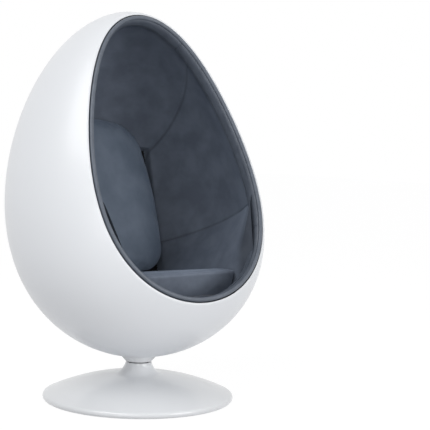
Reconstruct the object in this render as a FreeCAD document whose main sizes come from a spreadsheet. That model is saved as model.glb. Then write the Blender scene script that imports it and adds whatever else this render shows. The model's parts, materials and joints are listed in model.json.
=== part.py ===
import FreeCAD, Part
import math
import os

import Sketcher
from FreeCAD import Placement, Rotation, Vector

# Pod chair: an egg-shaped moulded shell with a padded lining, a seat pad and a loose back
# cushion, turning on a spindle in a trumpet pedestal.
# Millimetres. The origin is on the floor under the swivel axis, +Z up, the opening faces -Y.

# Driving dimensions

SIZES = (
    # the egg: its long axis leans back, and every section square to that axis is an ellipse
    ("egg_half_length", 580),
    ("egg_girth", 397),
    ("egg_width_ratio", 1.097),
    ("egg_taper", 0.213),
    ("egg_fullness", 0.046),
    ("egg_crown", -0.038),
    ("egg_depth_taper", -0.040),
    ("egg_depth_flare", -0.045),
    ("egg_bow", 40),
    ("egg_bow_taper", -43),
    ("egg_lean", 9.45),
    ("egg_centre_depth", 18.6),
    ("egg_centre_height", 724.7),
    ("shell_wall", 5),
    # the rim: a plane cut that looks forwards and a little up
    ("rim_tilt", 22),
    ("rim_depth", -199),
    ("welt_radius", 7),
    ("roll_radius", 8),
    ("roll_inset", 27),
    # the lining
    ("lining_thickness", 24.7),
    ("fit_gap", 0.3),
    ("backing_thickness", 1.5),
    ("upper_seam_depth", 321),
    ("upper_seam_height", 823),
    ("upper_seam_rise", 50.7),
    ("lower_seam_depth", 255),
    ("lower_seam_height", 500),
    ("lower_seam_rise", 23.3),
    ("recess_top", 832),
    ("recess_top_half_width", 262),
    ("recess_belly_height", 590),
    ("recess_belly_half_width", 293),
    ("recess_foot_height", 385),
    ("recess_foot_half_width", 242),
    # the seat
    ("seat_front", -205),
    ("seat_height", 446),
    ("seat_slope", 7.5),
    ("seat_back", 240),
    ("seat_front_half_width", 240),
    ("seat_back_half_width", 260),
    ("seat_side_taper", 12),
    ("bolster_gap", 2),
    ("seat_pad_thickness", 80),
    ("seat_edge_radius", 8),
    ("seat_board_thickness", 15),
    ("fascia_thickness", 12),
    ("cleat_width", 60),
    ("cleat_length", 90),
    ("cleat_height", 55),
    ("cleat_spread", 150),
    ("cleat_front", -110),
    ("cleat_back", 130),
    ("board_screw_radius", 2.5),
    ("board_screw_head", 5),
    ("board_screw_length", 45),
    # the back cushion
    ("cushion_height", 572),
    ("cushion_head_half_width", 252),
    ("cushion_foot_half_width", 264),
    ("cushion_head_radius", 85),
    ("cushion_foot_radius", 50),
    ("cushion_side_bulge", 6),
    ("cushion_thickness", 92),
    ("cushion_lean", 18.9),
    ("cushion_foot_depth", 187),
    ("cushion_rest", 2),
    # the pedestal
    ("base_radius", 320),
    ("base_lift", 2),
    ("base_edge_top", 22),
    ("base_edge_round", 13),
    ("dome_height", 90),
    ("pedestal_wall", 5),
    ("neck_radius", 43.5),
    ("neck_fillet", 32),
    ("neck_top", 124),
    ("boss_circle", 200),
    ("boss_radius", 7),
    ("pedestal_screw_radius", 3),
    ("felt_thickness", 3),
    ("ballast_thickness", 10),
    ("ballast_inset", 20),
    ("access_radius", 29),
    # the swivel
    ("swivel_slit", 5),
    ("spindle_radius", 15),
    ("running_gap", 0.05),
    ("column_bore", 25),
    ("column_wall", 5),
    ("column_flange_radius", 75),
    ("column_flange_thickness", 8),
    ("column_top", 118),
    ("column_bolt_circle", 58),
    ("column_bolt_radius", 4),
    ("bush_length", 30),
    ("bush_flange", 4),
    ("lower_bush_foot", 30),
    ("washer_thickness", 2),
    ("clip_thickness", 1.6),
    ("clip_groove", 1.5),
    ("clip_width", 5),
    ("hub_foot_radius", 45.5),
    ("hub_top_radius", 90),
    ("hub_top_height", 178),
    ("hub_hollow", 200),
    ("hub_socket_top", 146),
    ("block_radius", 100),
    ("block_top", 185),
    ("plate_radius", 70),
    ("plate_thickness", 6),
    ("mount_circle", 33),
    ("mount_bolt_radius", 5),
    ("mount_bolt_foot", 134),
    ("mount_hole_gap", 0.5),
)

doc = FreeCAD.newDocument("pod_chair")
sheet = doc.addObject("Spreadsheet::Sheet", "Sizes")
for row, (alias, number) in enumerate(SIZES, start=1):
    sheet.set("A%d" % row, alias)
    sheet.set("B%d" % row, str(number))
    sheet.setAlias("B%d" % row, alias)
doc.recompute()


class Size:
    """A length, angle or ratio together with the sheet expression that gives it."""

    def __init__(self, value, text):
        self.value = value
        self.text = text

    def __add__(self, other):
        other = plain(other)
        return Size(self.value + other.value, "(%s + %s)" % (self.text, other.text))

    def __sub__(self, other):
        other = plain(other)
        return Size(self.value - other.value, "(%s - %s)" % (self.text, other.text))

    def __mul__(self, other):
        other = plain(other)
        return Size(self.value * other.value, "(%s * %s)" % (self.text, other.text))

    def __truediv__(self, other):
        other = plain(other)
        return Size(self.value / other.value, "(%s / %s)" % (self.text, other.text))

    def __neg__(self):
        return Size(-self.value, "(-1 * %s)" % self.text)

    def root(self):
        return Size(math.sqrt(self.value), "sqrt(%s)" % self.text)

    def sin(self):
        return Size(math.sin(math.radians(self.value)), "sin(%s)" % self.text)

    def cos(self):
        return Size(math.cos(math.radians(self.value)), "cos(%s)" % self.text)


def plain(amount):
    """The amount as a Size, where it may be a bare number."""
    if isinstance(amount, Size):
        return amount
    return Size(float(amount), "%.9g" % amount)


def size(alias):
    """The named cell of the sheet."""
    return Size(float(getattr(sheet, alias)), "Sizes." + alias)


def number(alias):
    """The plain value of the named cell."""
    return float(getattr(sheet, alias))


parts = []


def part(obj, label):
    """Mark an object as one piece of the chair, under its own name."""
    obj.Label = label
    parts.append(obj)
    return obj


def bind(obj, bindings):
    """Tie properties of an object to sizes."""
    for path, amount in bindings.items():
        obj.setExpression(path, plain(amount).text)
    return obj


def seat_at(obj, across, back, up):
    """Put an object's own origin at a place given by sizes."""
    return bind(
        obj,
        {"Placement.Base.x": across, "Placement.Base.y": back, "Placement.Base.z": up},
    )


# Shape helpers


def cylinder(name, radius, foot, top, across=0, back=0):
    """Upright cylinder between two heights."""
    obj = doc.addObject("Part::Cylinder", name)
    bind(obj, {"Radius": radius, "Height": plain(top) - foot})
    return seat_at(obj, across, back, foot)


def hexagon(name, radius, foot, top, across=0, back=0):
    """Upright hexagonal prism between two heights, as a bolt's head."""
    obj = doc.addObject("Part::Prism", name)
    obj.Polygon = 6
    bind(obj, {"Circumradius": radius, "Height": plain(top) - foot})
    return seat_at(obj, across, back, foot)


def cut(name, base, tool):
    obj = doc.addObject("Part::Cut", name)
    obj.Refine = False
    obj.Base = base
    obj.Tool = tool
    return obj


def common(name, base, tool):
    obj = doc.addObject("Part::Common", name)
    obj.Refine = False
    obj.Base = base
    obj.Tool = tool
    return obj


def fuse(name, first, second):
    obj = doc.addObject("Part::Fuse", name)
    obj.Refine = False
    obj.Base = first
    obj.Tool = second
    return obj


def group(name, members):
    obj = doc.addObject("Part::Compound", name)
    obj.Links = members
    return obj


def around(count, circle, turn, maker):
    """Copies made by maker(index, across, back) at equal steps round the swivel axis."""
    copies = []
    for index in range(count):
        angle = math.radians(turn + 360 * index / count)
        copies.append(maker(index, circle * math.cos(angle), circle * math.sin(angle)))
    return copies


def drilled(name, blank, count, circle, turn, radius, foot, top):
    """The blank with a ring of upright drills, cut one after another."""
    for drill in holes(name + "_drills", count, circle, turn, radius, foot, top).Links:
        blank = cut(drill.Name + "_cut", blank, drill)
    return blank


def holes(name, count, circle, turn, radius, foot, top):
    """A ring of upright drills."""
    return group(
        name,
        around(
            count,
            circle,
            turn,
            lambda index, across, back: cylinder(
                "%s_%d" % (name, index), radius, foot, top, across, back
            ),
        ),
    )


def half_above(name, depth, height, rise):
    """Block that fills the space above a plane.

    The plane holds the X direction, passes through the given depth and height, and rises
    towards the front by the given angle.
    """
    reach = size("egg_half_length") * 6
    turn = plain(90) - rise
    obj = doc.addObject("Part::Box", name)
    bind(obj, {"Length": reach, "Width": reach, "Height": reach})
    obj.Placement = Placement(Vector(), Rotation(Vector(1, 0, 0), turn.value))
    bind(obj, {"Placement.Rotation.Angle": turn})
    return seat_at(
        obj,
        -reach / 2,
        plain(depth) + reach / 2 * turn.sin(),
        plain(height) - reach / 2 * turn.cos(),
    )


def half_right(name):
    """Block that fills the space on the right of the middle plane."""
    reach = size("egg_half_length") * 6
    obj = doc.addObject("Part::Box", name)
    bind(obj, {"Length": reach, "Width": reach, "Height": reach})
    return seat_at(obj, 0, -reach / 2, -reach / 2)


def turned(label, outline):
    """Body turned about the swivel axis.

    The outline is a closed run of corners, each (radius, height) or (radius, height, arc),
    where arc = (radius, side) bends the stretch to the next corner, with its centre on the
    left of the way there when side is 1 and on the right when it is -1.
    """
    body = doc.addObject("PartDesign::Body", label)
    sketch = body.newObject("Sketcher::SketchObject", label + "_profile")
    plane = next(f for f in body.Origin.OriginFeatures if f.Role == "XZ_Plane")
    sketch.AttachmentSupport = [(plane, "")]
    sketch.MapMode = "FlatFace"
    corners = [(plain(c[0]), plain(c[1])) for c in outline]
    points = [Vector(r.value, z.value, 0) for r, z in corners]
    count = len(points)
    ends = []
    for index, corner in enumerate(outline):
        start, end = points[index], points[(index + 1) % count]
        if len(corner) == 2:
            sketch.addGeometry(Part.LineSegment(start, end), False)
            ends.append((1, 2))
            continue
        radius, side = plain(corner[2][0]), corner[2][1]
        chord = end - start
        left = Vector(-chord.y, chord.x, 0).normalize()
        rise = math.sqrt(radius.value**2 - (chord.Length / 2) ** 2)
        centre = (start + end) * 0.5 + left * (side * rise)
        begin, finish = (start, end) if side > 0 else (end, start)
        circle = Part.Circle(centre, Vector(0, 0, 1), radius.value)
        angles = [math.atan2(p.y - centre.y, p.x - centre.x) for p in (begin, finish)]
        sketch.addGeometry(Part.ArcOfCircle(circle, *angles), False)
        ends.append((1, 2) if side > 0 else (2, 1))
        sketch.addConstraint(Sketcher.Constraint("Radius", index, radius.value))
        sketch.renameConstraint(sketch.ConstraintCount - 1, "bend_%d" % index)
        sketch.setExpression("Constraints.bend_%d" % index, radius.text)
    for index in range(count):
        after = (index + 1) % count
        sketch.addConstraint(
            Sketcher.Constraint(
                "Coincident", index, ends[index][1], after, ends[after][0]
            )
        )
        radius, height = corners[index]
        vertex = (index, ends[index][0])
        if radius.value == 0:
            sketch.addConstraint(Sketcher.Constraint("PointOnObject", *vertex, -2))
        else:
            sketch.addConstraint(Sketcher.Constraint("DistanceX", *vertex, radius.value))
            sketch.renameConstraint(sketch.ConstraintCount - 1, "radius_%d" % index)
            sketch.setExpression("Constraints.radius_%d" % index, radius.text)
        sketch.addConstraint(Sketcher.Constraint("DistanceY", *vertex, height.value))
        sketch.renameConstraint(sketch.ConstraintCount - 1, "height_%d" % index)
        sketch.setExpression("Constraints.height_%d" % index, height.text)
    turn = body.newObject("PartDesign::Revolution", label + "_turn")
    turn.Profile = sketch
    turn.ReferenceAxis = (sketch, ["V_Axis"])
    turn.Angle = 360
    return body


# The egg

EGG_STATIONS = 24
RIM_STATIONS = 10
EGG_FRAME = Placement(
    Vector(0, number("egg_centre_depth"), number("egg_centre_height")),
    Rotation(Vector(1, 0, 0), -number("egg_lean")),
)


def egg_section(theta, inset):
    """Half width, half depth, bow and place along the axis of one elliptical section.

    theta runs from 0 at the lower tip to pi at the upper one.
    """
    c, s = math.cos(theta), math.sin(theta)
    girth = number("egg_girth") * (
        1
        + number("egg_taper") * c
        + number("egg_fullness") * c**2
        + number("egg_crown") * c**3
    )
    flare = 1 + number("egg_depth_taper") * c + number("egg_depth_flare") * c**2
    bow = (1 - c**2) * (number("egg_bow") + number("egg_bow_taper") * c)
    return (
        Vector((girth * number("egg_width_ratio") - inset) * s, (girth * flare - inset) * s, 0),
        Vector(0, bow, -(number("egg_half_length") - inset) * c),
    )


def egg(name, inset):
    """Solid egg whose surface lies inset inside the shell's outer face."""
    rings = []
    for station in range(EGG_STATIONS + 1):
        half, centre = egg_section(math.pi * station / EGG_STATIONS, inset)
        if station in (0, EGG_STATIONS):
            rings.append(Part.Vertex(centre))
        else:
            rings.append(Part.Wire([Part.Ellipse(centre, half.x, half.y).toShape()]))
    obj = doc.addObject("Part::Feature", name)
    obj.Shape = Part.makeLoft(rings, True, True)
    obj.Placement = EGG_FRAME
    return obj


def egg_excess(point, inset):
    """Below zero inside the egg at this inset and above zero outside it."""
    local = EGG_FRAME.inverse().multVec(point)
    reach = number("egg_half_length") - inset
    if abs(local.z) >= reach:
        return 1.0
    half, centre = egg_section(math.acos(-local.z / reach), inset)
    return (local.x / half.x) ** 2 + ((local.y - centre.y) / half.y) ** 2 - 1


# The rim: directions in its plane, and the line that a trim follows round it

RIM_UP = Vector(0, math.sin(math.radians(number("rim_tilt"))), math.cos(math.radians(number("rim_tilt"))))
RIM_OUT = Vector(0, -RIM_UP.z, RIM_UP.y)
RIM_MIDDLE = Vector(0, number("rim_depth"), number("egg_centre_height"))


def rim_point(angle, inset, ahead):
    """Point of the egg at this inset in the rim plane moved ahead, found by halving."""
    middle = RIM_MIDDLE + RIM_OUT * ahead + RIM_UP * (0.15 * number("egg_half_length"))
    way = Vector(1, 0, 0) * math.sin(angle) + RIM_UP * math.cos(angle)
    near, far = 0.0, 2.0 * number("egg_half_length")
    for _ in range(60):
        halfway = (near + far) / 2
        if egg_excess(middle + way * halfway, inset) < 0:
            near = halfway
        else:
            far = halfway
    return middle + way * near


def arc_from(start, heading, end):
    """Arc that leaves the start along the heading and meets the end."""
    reach = (end - start).Length
    along = (end - start) * (1 / reach)
    half_turn = math.acos(min(1.0, along.dot(heading)))
    side = (heading - along * along.dot(heading)).normalize()
    bulge = side * (reach / 2 * math.tan(half_turn / 2))
    return Part.Arc(start, (start + end) * 0.5 + bulge, end).toShape()


def rim_tube(name, inset, ahead, radius):
    """Round trim whose centre line follows the rim in tangent arcs."""
    nudge = 1e-3
    knots = []
    for index in range(RIM_STATIONS):
        angle = 2 * math.pi * (index + 0.5) / RIM_STATIONS
        before, after = (rim_point(angle + side * nudge, inset, ahead) for side in (-1, 1))
        knots.append((rim_point(angle, inset, ahead), (after - before).normalize()))
    arcs = []
    for index, (start, heading) in enumerate(knots):
        end, leaving = knots[(index + 1) % RIM_STATIONS]
        way = end - start
        # a pair of arcs whose tangents at the two ends have the same length
        spread = 2 * (1 - heading.dot(leaving))
        lean = 2 * way.dot(heading + leaving)
        reach = (math.sqrt(lean**2 + 4 * spread * way.dot(way)) - lean) / (2 * spread)
        corners = start + heading * reach, end - leaving * reach
        joint = (corners[0] + corners[1]) * 0.5
        arcs.append(arc_from(start, heading, joint))
        arcs.append(arc_from(joint, (corners[1] - corners[0]).normalize(), end))
    ring = Part.Wire([Part.Circle(knots[0][0], knots[0][1], radius).toShape()])
    obj = doc.addObject("Part::Feature", name)
    obj.Shape = Part.Wire(arcs).makePipeShell([ring], True, False)
    return obj


def behind_rim(name, ahead):
    """Block that fills the space behind the rim plane moved ahead."""
    tilt = size("rim_tilt")
    return half_above(
        name,
        size("rim_depth") - plain(ahead) * tilt.cos(),
        size("egg_centre_height") + plain(ahead) * tilt.sin(),
        tilt + 90,
    )


# Pedestal

DOME_CONES = 8
base_radius = size("base_radius")
lift = size("base_lift")
wall = size("pedestal_wall")
edge_half = (size("base_edge_top") - lift) / 2
edge_round = size("base_edge_round")
# the edge's arc reaches the full radius at its middle
edge_foot = base_radius - edge_round + (edge_round * edge_round - edge_half * edge_half).root()
dome_rise = size("dome_height") - size("base_edge_top")
dome = (edge_foot * edge_foot + dome_rise * dome_rise) / (dome_rise * 2)
dome_centre = size("dome_height") - dome
neck = size("neck_radius")
fillet = size("neck_fillet")
fillet_centre = dome_centre + (
    (dome + fillet) * (dome + fillet) - (neck + fillet) * (neck + fillet)
).root()


def dome_touch(surface):
    """Where the neck's fillet leaves the dome, on the surface of this dome radius."""
    share = surface / (dome + fillet)
    return (neck + fillet) * share, dome_centre + (fillet_centre - dome_centre) * share


def dome_at(radius, surface):
    """Height of the dome of this radius at a distance from the axis."""
    return dome_centre + (surface * surface - plain(radius) * radius).root()


outer_touch = dome_touch(dome)
inner_touch = dome_touch(dome - wall)
# the dome is spun in narrow cones that touch its arc
dome_steps = [
    edge_foot + (outer_touch[0] - edge_foot) * (step / DOME_CONES)
    for step in range(1, DOME_CONES)
]
pedestal_turned = turned(
    "pedestal_blank",
    [
        (edge_foot, lift, (edge_round, 1)),
        (edge_foot, size("base_edge_top")),
        *[(radius, dome_at(radius, dome)) for radius in dome_steps],
        (*outer_touch, (fillet, -1)),
        (neck, fillet_centre),
        (neck, size("neck_top")),
        (neck - wall, size("neck_top")),
        (neck - wall, fillet_centre, (fillet + wall, 1)),
        inner_touch,
        (base_radius / 2, dome_at(base_radius / 2, dome - wall)),
        (base_radius * 0.75, dome_at(base_radius * 0.75, dome - wall)),
        (edge_foot - wall, dome_at(edge_foot - wall, dome - wall)),
        (edge_foot - wall, lift),
    ],
)
ballast_foot = size("felt_thickness")
ballast_top = ballast_foot + size("ballast_thickness")
boss_circle = size("boss_circle")
boss_top = dome_at(boss_circle, dome - wall / 2)
bosses = holes(
    "pedestal_bosses", 4, boss_circle, 45, size("boss_radius"), ballast_top, boss_top
)
screw = size("pedestal_screw_radius")
pedestal = cut(
    "pedestal_shell",
    fuse("pedestal_with_bosses", pedestal_turned, bosses),
    holes(
        "boss_pilots", 4, boss_circle, 45, screw, ballast_top - 1, boss_top - wall
    ),
)
part(pedestal, "pedestal_shell")

felt_radius = base_radius - size("ballast_inset")
part(cylinder("floor_felt", felt_radius, 0, ballast_foot), "floor_felt")

ballast_blank = turned(
    "ballast_blank",
    [
        (size("access_radius"), ballast_foot),
        (felt_radius, ballast_foot),
        (felt_radius, ballast_top),
        (size("access_radius"), ballast_top),
    ],
)
column_bolt = size("column_bolt_radius")
column_circle = size("column_bolt_circle")
ballast_drilled = cut(
    "ballast_drilled",
    ballast_blank,
    holes("ballast_bolt_holes", 6, column_circle, 0, column_bolt, 0, ballast_top + 1),
)
part(
    cut(
        "ballast_plate",
        ballast_drilled,
        holes("ballast_screw_holes", 4, boss_circle, 45, screw * 2, 0, ballast_top + 1),
    ),
    "ballast_plate",
)


def pedestal_screw(index, across, back):
    """Pan-head screw, up through the ballast plate into a boss."""
    name = "pedestal_screw_%d" % index
    head = cylinder(
        name + "_head", screw * 2 - size("fit_gap"), ballast_foot, ballast_foot + screw, across, back
    )
    shank = cylinder(name + "_shank", screw, ballast_foot, boss_top - wall, across, back)
    return fuse(name, head, shank)


part(
    group("pedestal_screws", around(4, boss_circle, 45, pedestal_screw)),
    "pedestal_screws",
)

# Column, bushes and spindle

bore = size("column_bore")
column_outer = bore + size("column_wall")
flange_top = ballast_top + size("column_flange_thickness")
column_top = size("column_top")
column_blank = turned(
    "column_blank",
    [
        (bore, ballast_top),
        (size("column_flange_radius"), ballast_top),
        (size("column_flange_radius"), flange_top),
        (column_outer, flange_top),
        (column_outer, column_top),
        (bore, column_top),
    ],
)
part(
    cut(
        "swivel_column",
        column_blank,
        holes("flange_holes", 6, column_circle, 0, column_bolt, ballast_foot, flange_top + 1),
    ),
    "swivel_column",
)


def column_bolt_piece(index, across, back):
    """Hexagon-head bolt that holds the column to the ballast plate."""
    name = "column_bolt_%d" % index
    head = hexagon(
        name + "_head", column_bolt * 1.8, flange_top, flange_top + column_bolt * 1.3, across, back
    )
    shank = cylinder(name + "_shank", column_bolt, ballast_foot, flange_top, across, back)
    return fuse(name, head, shank)


part(
    group("column_bolts", around(6, column_circle, 0, column_bolt_piece)),
    "column_bolts",
)

gap = size("running_gap")
spindle = size("spindle_radius")
bush_bore = spindle + gap
bush_length = size("bush_length")
bush_flange_top = column_top + size("bush_flange")
part(
    turned(
        "upper_bush",
        [
            (bush_bore, column_top - bush_length),
            (bore, column_top - bush_length),
            (bore, column_top),
            (column_outer, column_top),
            (column_outer, bush_flange_top),
            (bush_bore, bush_flange_top),
        ],
    ),
    "upper_bush",
)
lower_foot = size("lower_bush_foot")
part(
    turned(
        "lower_bush",
        [
            (bush_bore, lower_foot),
            (bore, lower_foot),
            (bore, lower_foot + bush_length),
            (bush_bore, lower_foot + bush_length),
        ],
    ),
    "lower_bush",
)
washer = size("washer_thickness")
thrust_top = bush_flange_top + washer
part(
    turned(
        "thrust_washer",
        [
            (bush_bore, bush_flange_top),
            (column_outer, bush_flange_top),
            (column_outer, thrust_top),
            (bush_bore, thrust_top),
        ],
    ),
    "thrust_washer",
)
part(
    turned(
        "neck_spacer",
        [
            (column_outer, column_top - bush_length / 2),
            (neck - wall - size("fit_gap"), column_top - bush_length / 2),
            (neck - wall - size("fit_gap"), column_top),
            (column_outer, column_top),
        ],
    ),
    "neck_spacer",
)

hub_foot = size("neck_top") + size("swivel_slit")
retainer_top = lower_foot - gap * 4
clip_top = retainer_top - washer
clip_foot = clip_top - size("clip_thickness")
groove = spindle - size("clip_groove")
spindle_foot = clip_foot - size("clip_thickness") * 2
socket_top = size("hub_socket_top")
part(
    turned(
        "spindle",
        [
            (0, spindle_foot),
            (spindle, spindle_foot),
            (spindle, clip_foot),
            (groove, clip_foot),
            (groove, clip_top),
            (spindle, clip_top),
            (spindle, thrust_top + gap),
            (column_outer, thrust_top + gap),
            (column_outer, hub_foot),
            (spindle, hub_foot),
            (spindle, socket_top),
            (0, socket_top),
        ],
    ),
    "spindle",
)
part(
    turned(
        "retaining_washer",
        [
            (bush_bore, clip_top),
            (bore - washer, clip_top),
            (bore - washer, retainer_top),
            (bush_bore, retainer_top),
        ],
    ),
    "retaining_washer",
)
clip_ring = turned(
    "clip_ring",
    [
        (groove, clip_foot),
        (groove + size("clip_width"), clip_foot),
        (groove + size("clip_width"), clip_top),
        (groove, clip_top),
    ],
)
clip_mouth = doc.addObject("Part::Box", "clip_mouth")
bind(clip_mouth, {"Length": groove * 2, "Width": groove, "Height": plain(clip_top) - clip_foot})
seat_at(clip_mouth, 0, -groove / 2, clip_foot)
part(cut("spindle_clip", clip_ring, clip_mouth), "spindle_clip")

# Hub, mounting block and bolts

mount_circle = size("mount_circle")
mount_bolt = size("mount_bolt_radius")
mount_foot = size("mount_bolt_foot")
mount_hole = mount_bolt + size("mount_hole_gap")
block_top = size("block_top")
plate_top = block_top + size("plate_thickness")
hub_blank = turned(
    "hub_blank",
    [
        (spindle, hub_foot),
        (size("hub_foot_radius"), hub_foot, (size("hub_hollow"), -1)),
        (size("hub_top_radius"), size("hub_top_height")),
        (0, size("hub_top_height")),
        (0, socket_top),
        (spindle, socket_top),
    ],
)
gap_fit = number("fit_gap")
shell_wall = number("shell_wall")
egg_grown = egg("egg_grown", -gap_fit)
part(
    cut(
        "swivel_hub",
        cut("hub_under_shell", hub_blank, egg_grown),
        holes("hub_threads", 4, mount_circle, 45, mount_bolt, mount_foot, block_top),
    ),
    "swivel_hub",
)

egg_outer = egg("egg_outer", 0)
egg_inner = egg("egg_inner", shell_wall)
egg_lining = egg("egg_lining", shell_wall + gap_fit)
shell_open = common("shell_open", cut("shell_closed", egg_outer, egg_inner), behind_rim("behind_edge", 0))
part(
    drilled("shell", shell_open, 4, mount_circle, 45, mount_hole, mount_foot, block_top),
    "outer_shell",
)

block_blank = cylinder("block_blank", size("block_radius"), hub_foot, block_top)
part(
    cut(
        "mounting_block",
        common("block_in_shell", block_blank, egg_lining),
        holes("block_holes", 4, mount_circle, 45, mount_hole, mount_foot, block_top + 1),
    ),
    "mounting_block",
)
part(
    cut(
        "mounting_plate",
        cylinder("plate_blank", size("plate_radius"), block_top, plate_top),
        holes("plate_holes", 4, mount_circle, 45, mount_hole, block_top - 1, plate_top + 1),
    ),
    "mounting_plate",
)


def mount_washer(index, across, back):
    """Plain washer under a mounting bolt's head."""
    name = "mount_washer_%d" % index
    disc = cylinder(name + "_disc", mount_bolt * 2.1, plate_top, plate_top + washer, across, back)
    eye = cylinder(name + "_eye", mount_bolt, plate_top, plate_top + washer, across, back)
    return cut(name, disc, eye)


def mount_bolt_piece(index, across, back):
    """Hexagon-head bolt through plate, block and shell into the hub."""
    name = "mount_bolt_%d" % index
    head = hexagon(
        name + "_head",
        mount_bolt * 1.8,
        plate_top + washer,
        plate_top + washer + mount_bolt * 1.3,
        across,
        back,
    )
    shank = cylinder(name + "_shank", mount_bolt, mount_foot, plate_top + washer, across, back)
    return fuse(name, head, shank)


part(group("mount_washers", around(4, mount_circle, 45, mount_washer)), "mount_washers")
part(group("mount_bolts", around(4, mount_circle, 45, mount_bolt_piece)), "mount_bolts")

# Seat: board on cleats, and the pad

seat_front = size("seat_front")
seat_height = size("seat_height")
slope = size("seat_slope")


def seat_plane(depth, below):
    """Height, at a depth, of the plane that lies below the seat's top by this much."""
    fall = (plain(depth) - seat_front) * slope.sin() / slope.cos()
    return seat_height - fall - plain(below) / slope.cos()


def above_seat_plane(name, below):
    """Block above the plane that lies below the seat's top by this much."""
    return half_above(name, seat_front, seat_plane(seat_front, below), slope)


pad = size("seat_pad_thickness")
board = size("seat_board_thickness")
above_board = above_seat_plane("above_board", pad)
under_board = above_seat_plane("under_board", pad + board)
board_slab = cut("board_slab", common("board_in_shell", egg_lining, under_board), above_board)
fascia = size("fascia_thickness")
board_front = half_above("board_front", seat_front + fascia + size("fit_gap"), seat_height, 90)
board_front_plane = half_above("board_front_plane", seat_front + fascia, seat_height, 90)
board_blank = common("board_blank", board_slab, board_front)

cleat_half = size("cleat_spread")


def cleat(name, across, depth):
    """Wooden block glassed to the shell under the board."""
    obj = doc.addObject("Part::Box", name)
    width, length, height = size("cleat_width"), size("cleat_length"), size("cleat_height")
    bind(obj, {"Length": width, "Width": length, "Height": height * 4})
    return seat_at(
        obj,
        plain(across) - width / 2,
        plain(depth) - length / 2,
        seat_plane(depth, pad + board) - height * 3,
    )


def screw_in_board(name, across, depth):
    """Countersunk screw, down through the board into a cleat."""
    radius = size("board_screw_radius")
    head_radius = size("board_screw_head")
    top = seat_plane(plain(depth) + head_radius, pad) - size("fit_gap")
    head = doc.addObject("Part::Cone", name + "_head")
    bind(head, {"Radius1": radius, "Radius2": head_radius, "Height": head_radius})
    seat_at(head, across, depth, top - head_radius)
    shank = cylinder(
        name + "_shank", radius, top - size("board_screw_length"), top - head_radius, across, depth
    )
    return fuse(name, head, shank)


cleat_places = [
    (cleat_half * side, size(depth))
    for depth in ("cleat_front", "cleat_back")
    for side in (-1, 1)
]
cleat_blocks = [cleat("cleat_%d" % k, *place) for k, place in enumerate(cleat_places)]
board_screws = [
    screw_in_board("board_screw_%d" % k, *place) for k, place in enumerate(cleat_places)
]
screws = part(group("board_screws", board_screws), "board_screws")
cleats_low = cut("cleats_low", group("cleat_blocks", cleat_blocks), under_board)
part(cut("seat_cleats", common("cleats_in_shell", cleats_low, egg_lining), screws), "seat_cleats")
part(cut("seat_board", board_blank, screws), "seat_board")
# the covered fascia closes the space under the pad, down to the shell
behind_seat_front = half_above("behind_seat_front", seat_front, seat_height, 90)
fascia_slab = cut("fascia_slab", behind_seat_front, board_front_plane)
fascia_below = cut("fascia_below", common("fascia_in_shell", egg_lining, fascia_slab), above_board)
part(fascia_below, "seat_fascia")


def seat_side(depth):
    """Half width of the seat's top at a depth."""
    spread = number("seat_back_half_width") - number("seat_front_half_width")
    share = (depth - number("seat_front")) / (number("seat_back") - number("seat_front"))
    return number("seat_front_half_width") + spread * share


def seat_block(grown):
    """Wedge-sided block of the pad, grown on its sides, before it is fitted to the lining."""
    front = number("seat_front") - 4 * grown
    back = number("egg_girth") * 1.5
    wires = []
    for below, narrow in ((pad.value, number("seat_side_taper")), (-grown, 0)):
        near = seat_side(front) - narrow + grown
        far = seat_side(back) - narrow + grown
        plan = [(near, front), (far, back), (-far, back), (-near, front)]
        corners = [Vector(x, y, seat_plane(y, below).value) for x, y in plan]
        wires.append(Part.makePolygon(corners + corners[:1]))
    return Part.makeLoft(wires, True, True)


def round_top(block, radius):
    """The block with its front and side edges rounded along the top."""
    corner = max(v.Z for v in block.Vertexes)
    tops = [f for f in block.Faces if f.normalAt(0, 0).z > 0.9 and f.BoundBox.ZMax > corner - 1]
    edges = [e for e in tops[0].Edges if min(v.Y for v in e.Vertexes) < number("seat_front") + 1]
    return block.makeFillet(radius, edges)


lining_inset = shell_wall + gap_fit + number("lining_thickness")
seat_blank = doc.addObject("Part::Feature", "seat_blank")
seat_blank.Shape = round_top(seat_block(0), number("seat_edge_radius"))
egg_cabin = egg("egg_cabin", lining_inset)
egg_seat = egg("egg_seat", lining_inset + gap_fit)
part(common("seat_pad", seat_blank, egg_seat), "seat_pad")

# Lining panels, with the recess behind the cushion

roll_radius = number("roll_radius")
welt_radius = number("welt_radius")
welt_inset = shell_wall + gap_fit + welt_radius
roll_inset = number("roll_inset")
roll_ahead = -math.sqrt((roll_radius + welt_radius + gap_fit) ** 2 - (roll_inset - welt_inset) ** 2)
lining_front = roll_ahead - roll_radius - gap_fit


def recess_face():
    """Outline of the recess, seen from the front."""
    top = [number("recess_top_half_width"), number("recess_top")]
    belly = [number("recess_belly_half_width"), number("recess_belly_height")]
    foot = [number("recess_foot_half_width"), number("recess_foot_height")]
    sill = number("egg_centre_height") - number("egg_half_length")

    def at(pair, side):
        return Vector(side * pair[0], 0, pair[1])

    def bulged(first, second, side):
        """Point halfway between two corners, pushed out so that the curve is round."""
        middle = (at(first, side) + at(second, side)) * 0.5
        return middle + Vector(side * 0.3 * abs(second[0] - first[0]), 0, 0)

    edges = []
    for side in (1, -1):
        edges.append(Part.Arc(at(top, side), bulged(top, belly, side), at(belly, side)).toShape())
        edges.append(Part.Arc(at(belly, side), bulged(belly, foot, side), at(foot, side)).toShape())
        edges.append(Part.makeLine(at(foot, side), at((foot[0], sill), side)))
    edges.append(Part.makeLine(at(top, 1), at(top, -1)))
    edges.append(Part.makeLine(at((foot[0], sill), 1), at((foot[0], sill), -1)))
    return Part.Face(Part.Wire(Part.__sortEdges__(edges)))


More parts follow.
